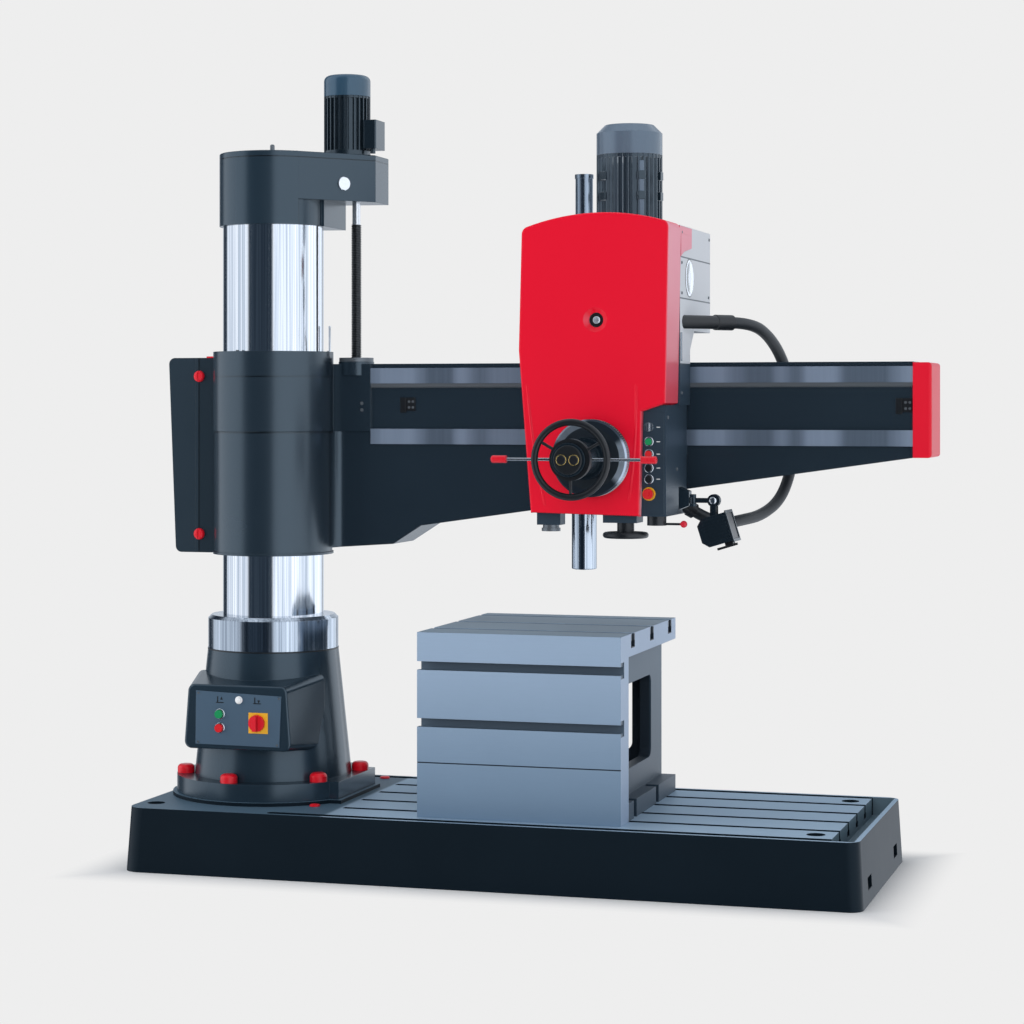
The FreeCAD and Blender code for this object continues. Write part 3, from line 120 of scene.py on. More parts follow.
# Shader maths
class Field:
    """A socket of a node tree. Python's operators on it add Math nodes."""

    def __init__(self, tree, socket):
        self.tree = tree
        self.socket = socket

    def math(self, operation, *values):
        return self.tree.node("Math", {"operation": operation}, dict(enumerate(values)))

    def __add__(self, other):
        return self.math("ADD", self, other)

    def __sub__(self, other):
        return self.math("SUBTRACT", self, other)

    def __rsub__(self, other):
        return self.math("SUBTRACT", other, self)

    def __mul__(self, other):
        return self.math("MULTIPLY", self, other)

    def __truediv__(self, other):
        return self.math("DIVIDE", self, other)

    def __pow__(self, other):
        return self.math("POWER", self, other)

    def __mod__(self, other):
        return self.math("FLOORED_MODULO", self, other)

    def __gt__(self, other):
        return self.math("GREATER_THAN", self, other)

    def __lt__(self, other):
        return self.math("LESS_THAN", self, other)

    def __abs__(self):
        return self.math("ABSOLUTE", self)

    __radd__ = __add__
    __rmul__ = __mul__

    def most(self, other):
        return self.math("MAXIMUM", self, other)

    def ease(self, low, high, to_low=0.0, to_high=1.0):
        """Turns smoothly from to_low to to_high as the field goes from low to high."""
        values = {0: self, 1: low, 2: high, 3: to_low, 4: to_high}
        return self.tree.node("MapRange", {"interpolation_type": "SMOOTHSTEP"}, values)

    def between(self, low, high, soft=0.0005):
        """1 from low to high, 0 outside."""
        return self.ease(low - soft, low) * self.ease(high, high + soft, 1.0, 0.0)

    def line(self, place, width):
        """1 on a thin line at one value of the field."""
        return abs(self - place).ease(width * 0.5, width, 1.0, 0.0)


class Nodes:
    """One node tree under construction."""

    def __init__(self, tree):
        self.tree = tree

    def put(self, socket, value):
        if isinstance(value, Field):
            self.tree.links.new(value.socket, socket)
        elif socket.type == "RGBA" and len(value) == 3:
            socket.default_value = (*value, 1)
        else:
            socket.default_value = value

    def node(self, kind, settings=None, values=None, out=0):
        """Adds a node: its type, its settings first, then its sockets' values or links."""
        made = self.tree.nodes.new("ShaderNode" + kind)
        for name, value in (settings or {}).items():
            setattr(made, name, value)
        for key, value in (values or {}).items():
            self.put(made.inputs[key], value)
        return Field(self, made.outputs[out])

    def parts(self, vector):
        split = self.node("SeparateXYZ", values={0: vector}).socket.node
        return [Field(self, socket) for socket in split.outputs]

    def mix(self, mask, first, second):
        return self.node("Mix", {"data_type": "RGBA"}, {0: mask, 6: first, 7: second}, out=2)

    def noise(self, scale, detail=2.0, rough=0.5, vector=None):
        values = {"Vector": vector or self.place(), "Scale": scale, "Detail": detail, "Roughness": rough}
        return self.node("TexNoise", values=values)

    def place(self):
        return self.node("TexCoord", out="Object")


class Finish(Nodes):
    """One material under construction."""

    def __init__(self, name, **fixed):
        self.material = bpy.data.materials.new(name)
        self.material.use_nodes = True
        super().__init__(self.material.node_tree)
        self.shader = self.tree.nodes["Principled BSDF"]
        self.set(**fixed)

    def set(self, **values):
        for name, value in values.items():
            self.put(self.shader.inputs[name.replace("_", " ")], value)
        return self

    def xyz(self):
        return self.parts(self.place())

    def facing(self):
        return self.parts(self.node("TexCoord", out="Normal"))

    def stretched(self, x, y, z):
        return self.node("VectorMath", {"operation": "MULTIPLY"}, {0: self.place(), 1: (x, y, z)})

    def bump(self, height, distance, edge=None):
        values = {"Height": height, "Distance": distance}
        if edge:
            values["Normal"] = self.node("Bevel", {"samples": 4}, {"Radius": edge})
        return self.set(Normal=self.node("Bump", values=values))


def shade(colour, amount):
    return tuple(c * amount for c in colour)


def srgb(r, g, b):
    """A colour that is written as it shows on a screen, 0 to 255."""
    return tuple(((c / 255 + 0.055) / 1.055) ** 2.4 if c > 10 else c / 255 / 12.92 for c in (r, g, b))


# Finishes
def tones(f, colour, spread, scale=2.2, fine=420):
    """Slow clouds and fine specks about one colour."""
    cloud = f.noise(scale, 4, 0.6)
    grain = f.noise(fine, 2)
    tone = f.mix(cloud * 0.7 + grain * 0.3, shade(colour, 1 - 2 * spread), shade(colour, 1 + 2 * spread))
    return tone, cloud


cool_gleam = (0.72, 0.88, 1.0)


def paint(name, colour, rough=0.28, spread=0.05, peel=0.00003, edge=0.002, gloss=0.85):
    """Glossy machine paint with slow changes of tone and fine orange peel."""
    f = Finish(name, Specular_IOR_Level=gloss, Specular_Tint=cool_gleam)
    tone, cloud = tones(f, colour, spread)
    f.set(Base_Color=tone, Roughness=rough - 0.06 + cloud * 0.12)
    return f.bump(f.noise(260, 3, 0.55), peel, edge)


def turned(name, colour, rough, ring=900, edge=0.001, metal=1.0):
    """Turned or ground metal: fine rings along Z, no visible stains."""
    f = Finish(name, Metallic=metal)
    lines = f.noise(ring, 2, 0.6, f.stretched(0.02, 0.02, 1))
    cloud = f.noise(6, 4, 0.6)
    f.set(Base_Color=f.mix(lines * 0.5 + cloud * 0.5, shade(colour, 0.93), shade(colour, 1.05)))
    f.set(Roughness=rough - 0.03 + lines * 0.06 + cloud * 0.04)
    return f.bump(lines, 0.00001, edge)


def plastic(name, colour, rough=0.35, edge=0.0012, gloss=0.5):
    f = Finish(name, Specular_IOR_Level=gloss)
    tone, cloud = tones(f, colour, 0.04, 9, 900)
    f.set(Base_Color=tone, Roughness=rough - 0.05 + cloud * 0.1)
    return f.bump(f.noise(900, 2), 0.00002, edge)


def streaked(name, dark, light, rough, edge=0.001):
    """Ground and plated metal: fine streaks along Z that show only as changes round the axis."""
    f = Finish(name, Metallic=1.0)
    fine = f.noise(150, 3, 0.75, f.stretched(1, 1, 0.004)).ease(0.38, 0.62)
    wide = f.noise(26, 2, 0.6, f.stretched(1, 1, 0.004)).ease(0.40, 0.62)
    f.set(Base_Color=f.mix(fine * 0.6 + wide * 0.4, dark, light), Roughness=rough + fine * 0.05)
    return f.bump(fine, 0.00001, edge)


def base_finish():
    """Near-black paint on the sides, a bare planed top right of the pedestal, and the right end's upper band
    painted lighter as painted light.
    """
    f = Finish("base_paint", Specular_IOR_Level=0.15, Specular_Tint=cool_gleam)
    x, y, z = f.xyz()
    top = (f.facing()[2] > 0.9) * (z > 0.2)
    lines = f.noise(14, 4, 0.7, f.stretched(1, 60, 1))
    side, cloud = tones(f, srgb(15, 25, 33), 0.12)
    bare = f.mix(lines * 0.5 + cloud * 0.5, srgb(140, 163, 182), srgb(172, 195, 215))
    painted = f.mix(cloud, srgb(62, 84, 101), srgb(88, 112, 129))
    left = x.ease(-0.545, -0.525)
    # Painted light: the upper band of the right end is painted lighter, standing in for the sheen it catches
    # from the side.
    lit_end = x.between(1.139, 1.215) * z.between(0.145, 0.212) * (abs(y) < 0.455)
    side = f.mix(lit_end, side, srgb(98, 118, 130))
    f.set(Base_Color=f.mix(top, side, f.mix(left, painted, bare)))
    f.set(Roughness=0.4 + lines * 0.12 * top + cloud * 0.1, Metallic=top * left * 0.3)
    return f.bump(f.noise(260, 3, 0.55) + lines * top, 0.00006, 0.003)


def table_finish():
    """Planed outside painted with light and shade (lighter up the front and on the right faces, darker on
    top), painted recesses with painted shade deeper in, and slots painted dark as painted shade.
    """
    f = Finish("planed_table", Metallic=0.15)
    x, y, z = f.xyz()
    nx, ny, nz = f.facing()
    (x0, y0, z0), (x1, y1, z1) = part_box("box_table")
    lines = f.noise(14, 4, 0.7, f.stretched(1, 60, 60))
    cloud = f.noise(3.5, 5, 0.65)
    # Painted light and shade: the front is painted lighter towards the top, the right faces lighter and the
    # top darker, as light falls on them.
    tone = f.mix(z.ease(z0, z1), srgb(118, 143, 168), srgb(158, 180, 205))
    tone = f.mix(nx > 0.9, tone, srgb(170, 188, 212))
    tone = f.mix(nz > 0.9, tone, srgb(112, 134, 151))
    recess = (y > y0 + 0.108) * (z < z1 - 0.074)
    # Painted shade: the recess paint darkens towards the bottom, and darker still deeper in between the outer
    # walls.
    tone = f.mix(recess, tone, f.mix(z.ease(z0, z1), srgb(50, 65, 78), srgb(72, 90, 105)))
    recess_shade = x.between(x0 + 0.056, x1 - 0.056) * recess
    tone = f.mix(recess_shade, tone, srgb(34, 44, 54))
    # Painted shade: the slots' walls and floors are painted dark where shade falls inside them.
    slot_shade = sum(y.between(s - 0.026, s + 0.026) * z.between(z1 - 0.047, z1 - 0.002) for s in table_slots)
    tone = f.mix(slot_shade, tone, srgb(34, 42, 50))
    slot_shade = sum(z.between(s - 0.026, s + 0.026) * y.between(y0 + 0.002, y0 + 0.047) for s in front_slots)
    tone = f.mix(slot_shade, tone, srgb(88, 104, 120))
    tone = f.mix(z.between(0.3908, 0.3942) * (y < y0 + 0.004), tone, srgb(36, 46, 56))
    f.set(Base_Color=f.mix(lines * 0.12 + cloud * 0.12, tone, srgb(70, 86, 102)))
    f.set(Roughness=0.42 + lines * 0.08 + cloud * 0.06)
    return f.bump(lines, 0.00004, 0.0025)


def arm_finish():
    """Graphite paint with the sleeve's joint line and a painted shadow line under its band."""
    f = Finish("arm_paint", Specular_IOR_Level=1.0, Specular_Tint=cool_gleam)
    x, y, z = f.xyz()
    tone, cloud = tones(f, srgb(28, 40, 50), 0.06)
    round_part = (((x - column_x) ** 2 + y * y) ** 0.5).ease(0.211, 0.213, 1.0, 0.0)
    # A dark joint line at z 1.658, and a painted shadow line under the band at z 1.4665.
    joint_and_shadow_lines = (z.line(1.658, 0.003) + z.line(1.4665, 0.0045)) * round_part
    f.set(Base_Color=f.mix(joint_and_shadow_lines, tone, srgb(10, 14, 18)), Roughness=0.22 + cloud * 0.08)
    return f.bump(f.noise(240, 3, 0.55) - joint_and_shadow_lines * 6, 0.00003, 0.003)


def head_finish():
    """Slate paint; on the upper part's right side a light grey painted reflection of the pale room, with
    cover joints.
    """
    f = Finish("head_paint", Specular_IOR_Level=0.6, Specular_Tint=cool_gleam)
    x, y, z = f.xyz()
    slate, cloud = tones(f, srgb(42, 56, 69), 0.06)
    grain = f.noise(420, 2)
    # Painted reflection: the upper right side is painted light grey for the pale room it mirrors at a grazing
    # angle.
    light = f.mix(grain, srgb(204, 207, 213), srgb(220, 222, 227))
    side = (f.facing()[0] > 0.9) * (z > 1.698)
    joints = (z.line(2.049, 0.003) + z.line(1.913, 0.003)) * side
    f.set(Base_Color=f.mix(joints, f.mix(side, slate, light), srgb(60, 66, 74)))
    f.set(Roughness=0.36 + cloud * 0.12)
    return f.bump(f.noise(240, 3, 0.55) - joints * 6, 0.00008, 0.002)


def cap_finish():
    """Glossy slate paint with the cover's joint line."""
    f = Finish("cap_paint", Specular_IOR_Level=0.85, Specular_Tint=cool_gleam)
    x, y, z = f.xyz()
    tone, cloud = tones(f, srgb(30, 44, 55), 0.05)
    joint = z.line(2.412, 0.003)
    f.set(Base_Color=f.mix(joint, tone, srgb(8, 12, 16)), Roughness=0.2 + cloud * 0.08)
    return f.bump(f.noise(240, 3, 0.55) - joint * 6, 0.00003, 0.003)


def cabinet_finish():
    """Glossy slate paint with the joint line in front of the latches."""
    f = Finish("cabinet_paint", Specular_IOR_Level=0.6, Specular_Tint=cool_gleam)
    x, y, z = f.xyz()
    tone, cloud = tones(f, srgb(36, 48, 58), 0.05)
    past = x.ease(column_x - 0.281, column_x - 0.280)
    tone = f.mix(past, tone, srgb(29, 40, 49))
    f.set(Base_Color=f.mix(x.line(column_x - 0.281, 0.003), tone, srgb(10, 14, 18)))
    f.set(Roughness=0.28 + cloud * 0.1)
    return f.bump(f.noise(240, 3, 0.55), 0.00003, 0.002)


def rail_finish():
    """Ground guide way with painted reflections of the room in broad upright bands."""
    f = Finish("guide_way", Metallic=0.3)
    x, y, z = f.xyz()
    # Painted reflection: broad light and dark bands along X stand in for the room mirrored in the ground
    # steel.
    wide = f.noise(5.5, 1, 0.3, f.stretched(1, 0, 0)).ease(0.44, 0.56)
    fine = f.noise(90, 3, 0.6, f.stretched(1, 0.02, 0.02))
    tone = wide * 0.75 + fine * 0.25
    f.set(Base_Color=f.mix(tone, srgb(78, 92, 108), srgb(136, 152, 174)))
    f.set(Roughness=0.26 + fine * 0.1)
    return f.bump(fine, 0.00002, 0.0008)


def lever_finish():
    """Bright rods with red grips at both ends."""
    f = Finish("lever_and_grip")
    x, y, z = f.xyz()
    grip = abs(x - hub_x).ease(0.218, 0.2195)
    grain = f.noise(700, 2)
    steel = f.mix(grain, (0.4, 0.42, 0.45), (0.6, 0.62, 0.65))
    red = f.mix(grain, srgb(196, 14, 34), srgb(222, 24, 44))
    f.set(Base_Color=f.mix(grip, steel, red), Metallic=1 - grip, Roughness=0.24 + grain * 0.06)
    return f.bump(grain, 0.00002, 0.001)


def control_lever_finish():
    """Black lever with a red ball."""
    f = Finish("control_lever")
    x, y, z = f.xyz()
    ball = (x - spindle_x).ease(0.374, 0.376)
    grain = f.noise(700, 2)
    black = f.mix(grain, srgb(16, 20, 24), srgb(30, 35, 40))
    red = f.mix(grain, srgb(190, 16, 40), srgb(214, 26, 50))
    f.set(Base_Color=f.mix(ball, black, red), Roughness=0.3 + grain * 0.06)
    return f.bump(grain, 0.00002, 0.001)


def dial_finish():
    """Dark satin dial whose outer ring carries two painted highlights as glints, with fine white marks on its
    rim.
    """
    f = Finish("feed_dial")
    x, y, z = f.xyz()
    dx, dz = x - hub_x, z - hub_z
    r = (dx * dx + dz * dz) ** 0.5
    turn = dz.math("ARCTAN2", dz, dx) * (180 / math.pi)
    mark = abs((turn / 3.6 % 1.0) - 0.5).ease(0.40, 0.44) * y.between(-0.318, -0.300)
    # Painted highlights: the rim is painted bright in two ranges of angle as glints.
    painted_glint = turn.between(-32, 20, 14) + turn.between(104, 146, 14) * 0.5
    rim = r.ease(0.1, 0.102)
    grain = f.noise(40, 3, 0.6, f.stretched(1, 30, 1))
    dark = f.mix(grain, srgb(20, 26, 32), srgb(34, 42, 50))
    bright = f.mix(painted_glint * (0.7 + grain * 0.5), srgb(44, 54, 65), srgb(176, 190, 206))
    f.set(Base_Color=f.mix(mark * rim, f.mix(rim, dark, bright), srgb(238, 240, 242)))
    f.set(Metallic=rim * (1 - mark) * 0.6, Roughness=0.28 + grain * 0.1)
    return f.bump(grain, 0.00002, 0.001)


def thread_finish():
    f = Finish("thread_steel", Metallic=0.9)
    x, y, z = f.xyz()
    grain = f.noise(300, 3)
    plain = z.ease(thread_top - 0.001, thread_top)
    dark = f.mix(grain, (0.05, 0.055, 0.06), (0.12, 0.125, 0.13))
    f.set(Base_Color=f.mix(plain, dark, (0.7, 0.72, 0.75)), Roughness=0.36 - plain * 0.14 + grain * 0.08)
    return f.bump(grain, 0.00002)


def cover_finish():
    """Red enamel with a pink painted reflection of the light on the cover's right side."""
    f = Finish("red_enamel", Specular_IOR_Level=0.3, Coat_Weight=0.1, Coat_Roughness=0.1)
    tone, cloud = tones(f, srgb(224, 2, 40), 0.015)
    x, y, z = f.xyz()
    # Painted reflection: the right side is painted pink, more so higher up, where it would mirror the light.
    side = f.facing()[0].ease(0.45, 0.95) * (x < 1) * z.ease(1.5, 2.15, 0.25, 0.8)
    f.set(Base_Color=f.mix(side, tone, srgb(240, 150, 170)), Roughness=0.32 + cloud * 0.12)
    return f.bump(f.noise(260, 3, 0.55), 0.00003, 0.004)


makers = {
    "dark_paint": lambda: paint("graphite_paint", srgb(24, 36, 46)),
    "grey_paint": lambda: paint("slate_paint", srgb(30, 44, 55), rough=0.24),
    "cap": cap_finish,
    "cabinet": cabinet_finish,
    "table_paint": table_finish,
    "black_paint": lambda: paint("black_paint", srgb(18, 28, 36), rough=0.24),
    "plate": lambda: paint("switch_plate_paint", srgb(70, 90, 109), rough=0.3, peel=0.00002),
    "panel": lambda: paint("panel_paint", srgb(42, 54, 66), rough=0.32, peel=0.00002),
    "red_cap": lambda: plastic("red_cap_plastic", srgb(216, 14, 34), 0.32),
    "red_cover": cover_finish,
    "red_plastic": lambda: plastic("red_plastic", srgb(214, 18, 38), 0.36),
    "red_button": lambda: plastic("red_button_plastic", srgb(206, 26, 34), 0.28),
    "green_button": lambda: plastic("green_button_plastic", srgb(22, 140, 84), 0.28),
    "black_button": lambda: plastic("black_button_plastic", srgb(24, 26, 30), 0.3),
    "black_plastic": lambda: plastic("black_plastic", srgb(18, 21, 25), 0.4),
    "steel": lambda: turned("bright_steel", (0.55, 0.6, 0.66), 0.24),
    "dark_steel": lambda: turned("dark_steel", (0.16, 0.18, 0.2), 0.36, metal=0.6),
    "rail_steel": rail_finish,
    "chrome_steel": lambda: streaked("ground_chrome", (0.42, 0.47, 0.54), (0.95, 0.96, 0.98), 0.08),
    "bronze": lambda: turned("bronze", (0.55, 0.36, 0.16), 0.32),
    "guard": lambda: streaked("guard_steel", (0.15, 0.19, 0.23), (0.34, 0.40, 0.48), 0.24),
    "quill": lambda: streaked("quill_steel", (0.18, 0.22, 0.27), (0.66, 0.72, 0.80), 0.12),
    "dial": dial_finish,
    "lever": lever_finish,
    "hose_rubber": lambda: plastic("hose_rubber", srgb(22, 27, 32), 0.45),
    "base": base_finish,
    "arm": arm_finish,
    "head": head_finish,
    "control_lever": control_lever_finish,
    "thread": thread_finish,
    "ring": lambda: streaked("ring_steel", (0.22, 0.26, 0.31), (0.62, 0.68, 0.76), 0.14),
    "cowl": lambda: paint("cowl_paint", srgb(86, 100, 116), rough=0.26),
    "lift_cowl": lambda: paint("lift_cowl_paint", srgb(44, 70, 90), rough=0.24),
    "motor": lambda: paint("motor_paint", srgb(38, 48, 58), rough=0.26),
    "satin_screw": lambda: turned("satin_screw", (0.8, 0.82, 0.85), 0.5),
    "yellow": lambda: plastic("yellow_plastic", srgb(226, 168, 34), 0.4),
    "white": lambda: plastic("white_plastic", srgb(232, 234, 236), 0.3),
    "gold": lambda: turned("gold_ring_metal", (0.75, 0.55, 0.2), 0.25),
    "silver": lambda: turned("plated_screw", (0.75, 0.77, 0.8), 0.2),
}
finishes = {slot: make() for slot, make in makers.items()}

own_finish = {
    "base_casting": "base",
    "arm_casting": "arm",
    "head_casting": "head",
    "cap_housing": "cap",
    "cap_cover": "cap",
    "cabinet_box": "cabinet",
    "cabinet_door": "cabinet",
    "control_lever": "control_lever",
    "main_motor_body": "motor",
    "main_motor_cowl": "cowl",
    "lift_motor_cowl": "lift_cowl",
    "column_ring": "ring",
    "quill": "quill",
    "lift_nut": "dark_steel",
    "panel_selector": "silver",
}


def dress(piece, finish):
    piece.data.materials.clear()
    piece.data.materials.append(finishes[finish].material)


node_slots = {sub["node"]: sub["material_slot"] for sub in frame["record"]["subparts"]}
for name, node in nodes.items():
    dress(node, own_finish.get(name, node_slots[name]))


# Hose
def make_hose():
    data = bpy.data.curves.new("coolant_hose", "CURVE")
    data.dimensions = "3D"
    data.bevel_depth = 0.0195
    data.bevel_resolution = 6
    data.resolution_u = 16
    spline = data.splines.new("NURBS")
    spline.points.add(len(hose_route) - 1)
    for point, (x, y, z) in zip(spline.points, hose_route):
        point.co = (spindle_x + x, y, z, 1)
    spline.order_u = 3
    spline.use_endpoint_u = True
    hose = add_object("coolant_hose", data)
    dress(hose, "hose_rubber")
    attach(hose, "head")
    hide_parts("hose")
    x, y, z = hose_route[0]


make_hose()

# The photograph's column mirrors only the studio, so the head keeps out of mirror images.
for name, node in nodes.items():
    if node["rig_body"] == "head":
        node.visible_glossy = False


# Mesh helpers
def aimed(place, way, spin=0.0):
    """A matrix that puts local Z along way, with its origin at place."""
    turn = Vector(way).to_track_quat("Z", "Y").to_matrix().to_4x4()
    return Matrix.Translation(place) @ turn @ Matrix.Rotation(spin, 4, "Z")


def lathe(bm, profile, matrix, steps=48):
    """Turns a profile of (radius, height) points about the matrix's Z axis, closed at both ends."""
    rings = []
    for r, h in profile:
        angles = [2 * math.pi * k / steps for k in range(steps)]
        rings.append([bm.verts.new(matrix @ Vector((r * math.cos(a), r * math.sin(a), h))) for a in angles])
    for low, high in zip(rings, rings[1:]):
        for k in range(steps):
            n = (k + 1) % steps
            bm.faces.new((low[k], low[n], high[n], high[k]))
    bm.faces.new(rings[0])
    bm.faces.new(rings[-1])


def brick(bm, low, high, matrix=Matrix()):
    centre = (Vector(low) + Vector(high)) / 2
    size = Vector(high) - Vector(low)
    scale = Matrix.Diagonal((*size, 1))
    bmesh.ops.create_cube(bm, size=1, matrix=matrix @ Matrix.Translation(centre) @ scale)


def torus(bm, place, way, ring, tube, steps=40):
    """A ring of round section about way."""
    matrix = aimed(place, way)
    loops = []
    for k in range(steps):
        a = 2 * math.pi * k / steps
        loop = []
        for j in range(10):
            b = 2 * math.pi * j / 10
            r = ring + tube * math.cos(b)
            loop.append(bm.verts.new(matrix @ Vector((r * math.cos(a), r * math.sin(a), tube * math.sin(b)))))
        loops.append(loop)
    for k in range(steps):
        first, second = loops[k], loops[(k + 1) % steps]
        for j in range(10):
            n = (j + 1) % 10
            bm.faces.new((first[j], first[n], second[n], second[j]))


def make(name, body, finish, slot, build, bevel=0.0, replaces=None):
    """Builds a mesh piece, rounds its edges, and sets its body and finish; its slot is not used."""
    bm = bmesh.new()
    build(bm)
    bmesh.ops.recalc_face_normals(bm, faces=bm.faces)
    mesh = bpy.data.meshes.new(name)
    bm.to_mesh(mesh)
    bm.free()
    piece = add_object(name, mesh)
    mesh.shade_smooth()
    mesh.set_sharp_from_angle(angle=math.radians(35))
    dress(piece, finish)
    if bevel:
        rounding = piece.modifiers.new("rounding", "BEVEL")
        rounding.width = bevel
        rounding.segments = 3
    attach(piece, body)
    if replaces:
        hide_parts(replaces)
    return piece


def screw(bm, place, way, r=0.005, height=0.0035):
    """A socket screw's head with a recess."""
    hole, rim = r * 0.5, r * 0.85
    profile = [(hole, 0), (r, 0), (r, height * 0.7), (rim, height), (hole, height), (hole, height * 0.4)]
    lathe(bm, profile, aimed(place, way), 24)


# Lead screw and rack
def lead_screw(bm):
    steps = 20
    count = int((thread_top - screw_low) / thread_pitch * steps)
    root = screw_r - 0.0032
    rows = []
    for k in range(count + 1):
        a = 2 * math.pi * k / steps
        z = screw_low + thread_pitch * k / steps
        row = []
        for r, dz in ((root, 0.0), (screw_r, 0.0018), (screw_r, 0.0032), (root, 0.005)):
            h = min(z + dz, thread_top)
            row.append(bm.verts.new((screw_x + r * math.cos(a), screw_y + r * math.sin(a), h)))
        rows.append(row)
    for low, high in zip(rows, rows[1:]):
        for j in range(3):
            bm.faces.new((low[j], high[j], high[j + 1], low[j + 1]))
    axis = aimed((screw_x, screw_y, 0), (0, 0, 1))
    lathe(bm, [(root, screw_low), (root, thread_top)], axis)
    lathe(bm, [(journal_r, thread_top - 0.002), (journal_r, screw_top)], axis)


make("lead_screw_thread", "lead_screw", "thread", "dark_steel", lead_screw, replaces="lead_screw")


def rack(bm):
    front = rack_back - 0.009
    brick(bm, (arm_start, front, rack_low + 0.005), (arm_end, rack_back, rack_top))
    count = int((arm_end - arm_start) / rack_pitch)
    low, mid = rack_low, rack_low + 0.005
    for k in range(count):
        x = arm_start + (k + 0.5) * rack_pitch
        foot, tip = rack_pitch * 0.4, rack_pitch * 0.18
        corners = [(x - foot, mid), (x + foot, mid), (x + tip, low), (x - tip, low)]
        a = [bm.verts.new((cx, front, cz)) for cx, cz in corners]
        b = [bm.verts.new((cx, rack_back, cz)) for cx, cz in corners]
        bm.faces.new(a)
        for i in range(4):
            n = (i + 1) % 4
            bm.faces.new((a[i], a[n], b[n], b[i]))


make("rack_teeth", "arm", "dark_steel", "steel", rack, replaces="traverse_rack")


# Column, cap and pedestal
def sight_glass_ring(bm):
    profile = [(0.019, 0), (0.024, 0), (0.024, 0.004), (0.022, 0.006), (0.019, 0.006)]
    lathe(bm, profile, aimed((-0.630, 0.0105, 2.327), (0.755, -0.656, 0)), 40)


def sight_glass_lens(bm):
    profile = [(0.019, 0.001), (0.019, 0.0035), (0.012, 0.005), (0.004, 0.0057)]
    lathe(bm, profile, aimed((-0.630, 0.0105, 2.327), (0.755, -0.656, 0)), 40)


make("sight_glass_ring", "column", "silver", "steel", sight_glass_ring)
make("sight_glass_lens", "column", "white", "panel", sight_glass_lens)


def lifting_pin(bm):
    profile = [(0.011, 0), (0.011, 0.004), (0.008, 0.006), (0.008, 0.030), (0.006, 0.034), (0.003, 0.035)]
    lathe(bm, profile, aimed((column_x + 0.004, -0.02, 2.432), (0, 0, 1)), 28)


make("lifting_pin", "column", "dark_steel", "dark_steel", lifting_pin)


def cap_screws(bm):
    for x, y in ((-0.15, -0.06), (-0.10, 0.13), (0.12, -0.09), (0.31, 0.12), (0.31, 0.22), (0.1, 0.2)):
        screw(bm, (column_x + x, y, 2.432), (0, 0, 1), 0.007)


make("cap_screws", "column", "dark_steel", "dark_steel", cap_screws)


def flange_seal(bm):
    profile = [(0.2265, 0), (0.2275, 0.0), (0.2275, 0.004), (0.2265, 0.004)]
    lathe(bm, profile, aimed((column_x, 0, 0.7145), (0, 0, 1)), 96)


make("pedestal_wiper", "base", "black_plastic", "black_plastic", flange_seal)


def pilot_lamp_body(bm):
    profile = [(0.011, 0), (0.013, 0), (0.013, 0.004), (0.010, 0.0055), (0.010, 0.010), (0.006, 0.0125)]
    lathe(bm, profile, aimed((column_x + 0.001, -0.313, 0.566), (0, -1, 0)), 32)


make("pilot_lamp", "base", "white", "plate", pilot_lamp_body)


def switch_square(bm):
    x, z = column_x + 0.07, 0.49
    brick(bm, (x - 0.035, -0.3132, z - 0.035), (x + 0.035, -0.313, z + 0.035))


make("switch_backplate", "base", "yellow", "plate", switch_square)


def plate_signs(bm):
    """Two small generic pictograms: a mast with a rising arrow, and one with a falling arrow."""
    y0, y1 = -0.3133, -0.3129
    for x, up in ((-0.069, 1), (0.066, -1)):
        cx, cz = column_x + x, 0.566
        brick(bm, (cx - 0.014, y0, cz - 0.012), (cx + 0.014, y1, cz - 0.009))
        brick(bm, (cx - 0.010, y0, cz - 0.009), (cx - 0.006, y1, cz + 0.010))
        tip, foot = cz + 0.010 * up, cz - 0.001 * up
        corners = [(cx + 0.001, foot), (cx + 0.011, foot), (cx + 0.006, tip)]
        bm.faces.new([bm.verts.new((px, y0, pz)) for px, pz in corners])


make("plate_signs", "base", "black_plastic", "plate", plate_signs)


def plate_screws(bm):
    for x, z in ((-0.149, 0.42), (0.138, 0.418), (0.145, 0.575), (-0.147, 0.586)):
        screw(bm, (column_x + x, -0.313, z), (0, -1, 0), 0.004, 0.002)


make("plate_screws", "base", "dark_steel", "dark_steel", plate_screws)


def button_collars(bm):
    for z in (0.517, 0.470):
        profile = [(0.0145, 0), (0.018, 0), (0.018, 0.002), (0.0165, 0.0035), (0.0145, 0.0035)]
        lathe(bm, profile, aimed((column_x - 0.069, -0.313, z), (0, -1, 0)), 32)


make("pedestal_button_collars", "base", "silver", "steel", button_collars)


# Base
def red_plugs(bm):
    for x, y in ((0.256, -0.267), (0.271, 0.401)):
        profile = [(0.018, 0), (0.018, 0.004), (0.014, 0.007), (0.006, 0.008)]
        lathe(bm, profile, aimed((column_x + x, y, 0.213), (0, 0, 1)), 32)


make("base_plugs", "base", "red_cap", "red_cap", red_plugs)


# Arm and cabinet
def stop_blocks(bm):
    for x, z in ((0.475, 1.56), (2.186, 1.557)):
        cx = column_x + x
        brick(bm, (cx - 0.027, web_face - 0.008, z - 0.026), (cx - 0.006, web_face, z + 0.026))
        brick(bm, (cx - 0.006, web_face - 0.005, z - 0.020), (cx + 0.027, web_face, z + 0.026))


make("stop_blocks", "arm", "black_plastic", "black_plastic", stop_blocks, 0.0015)


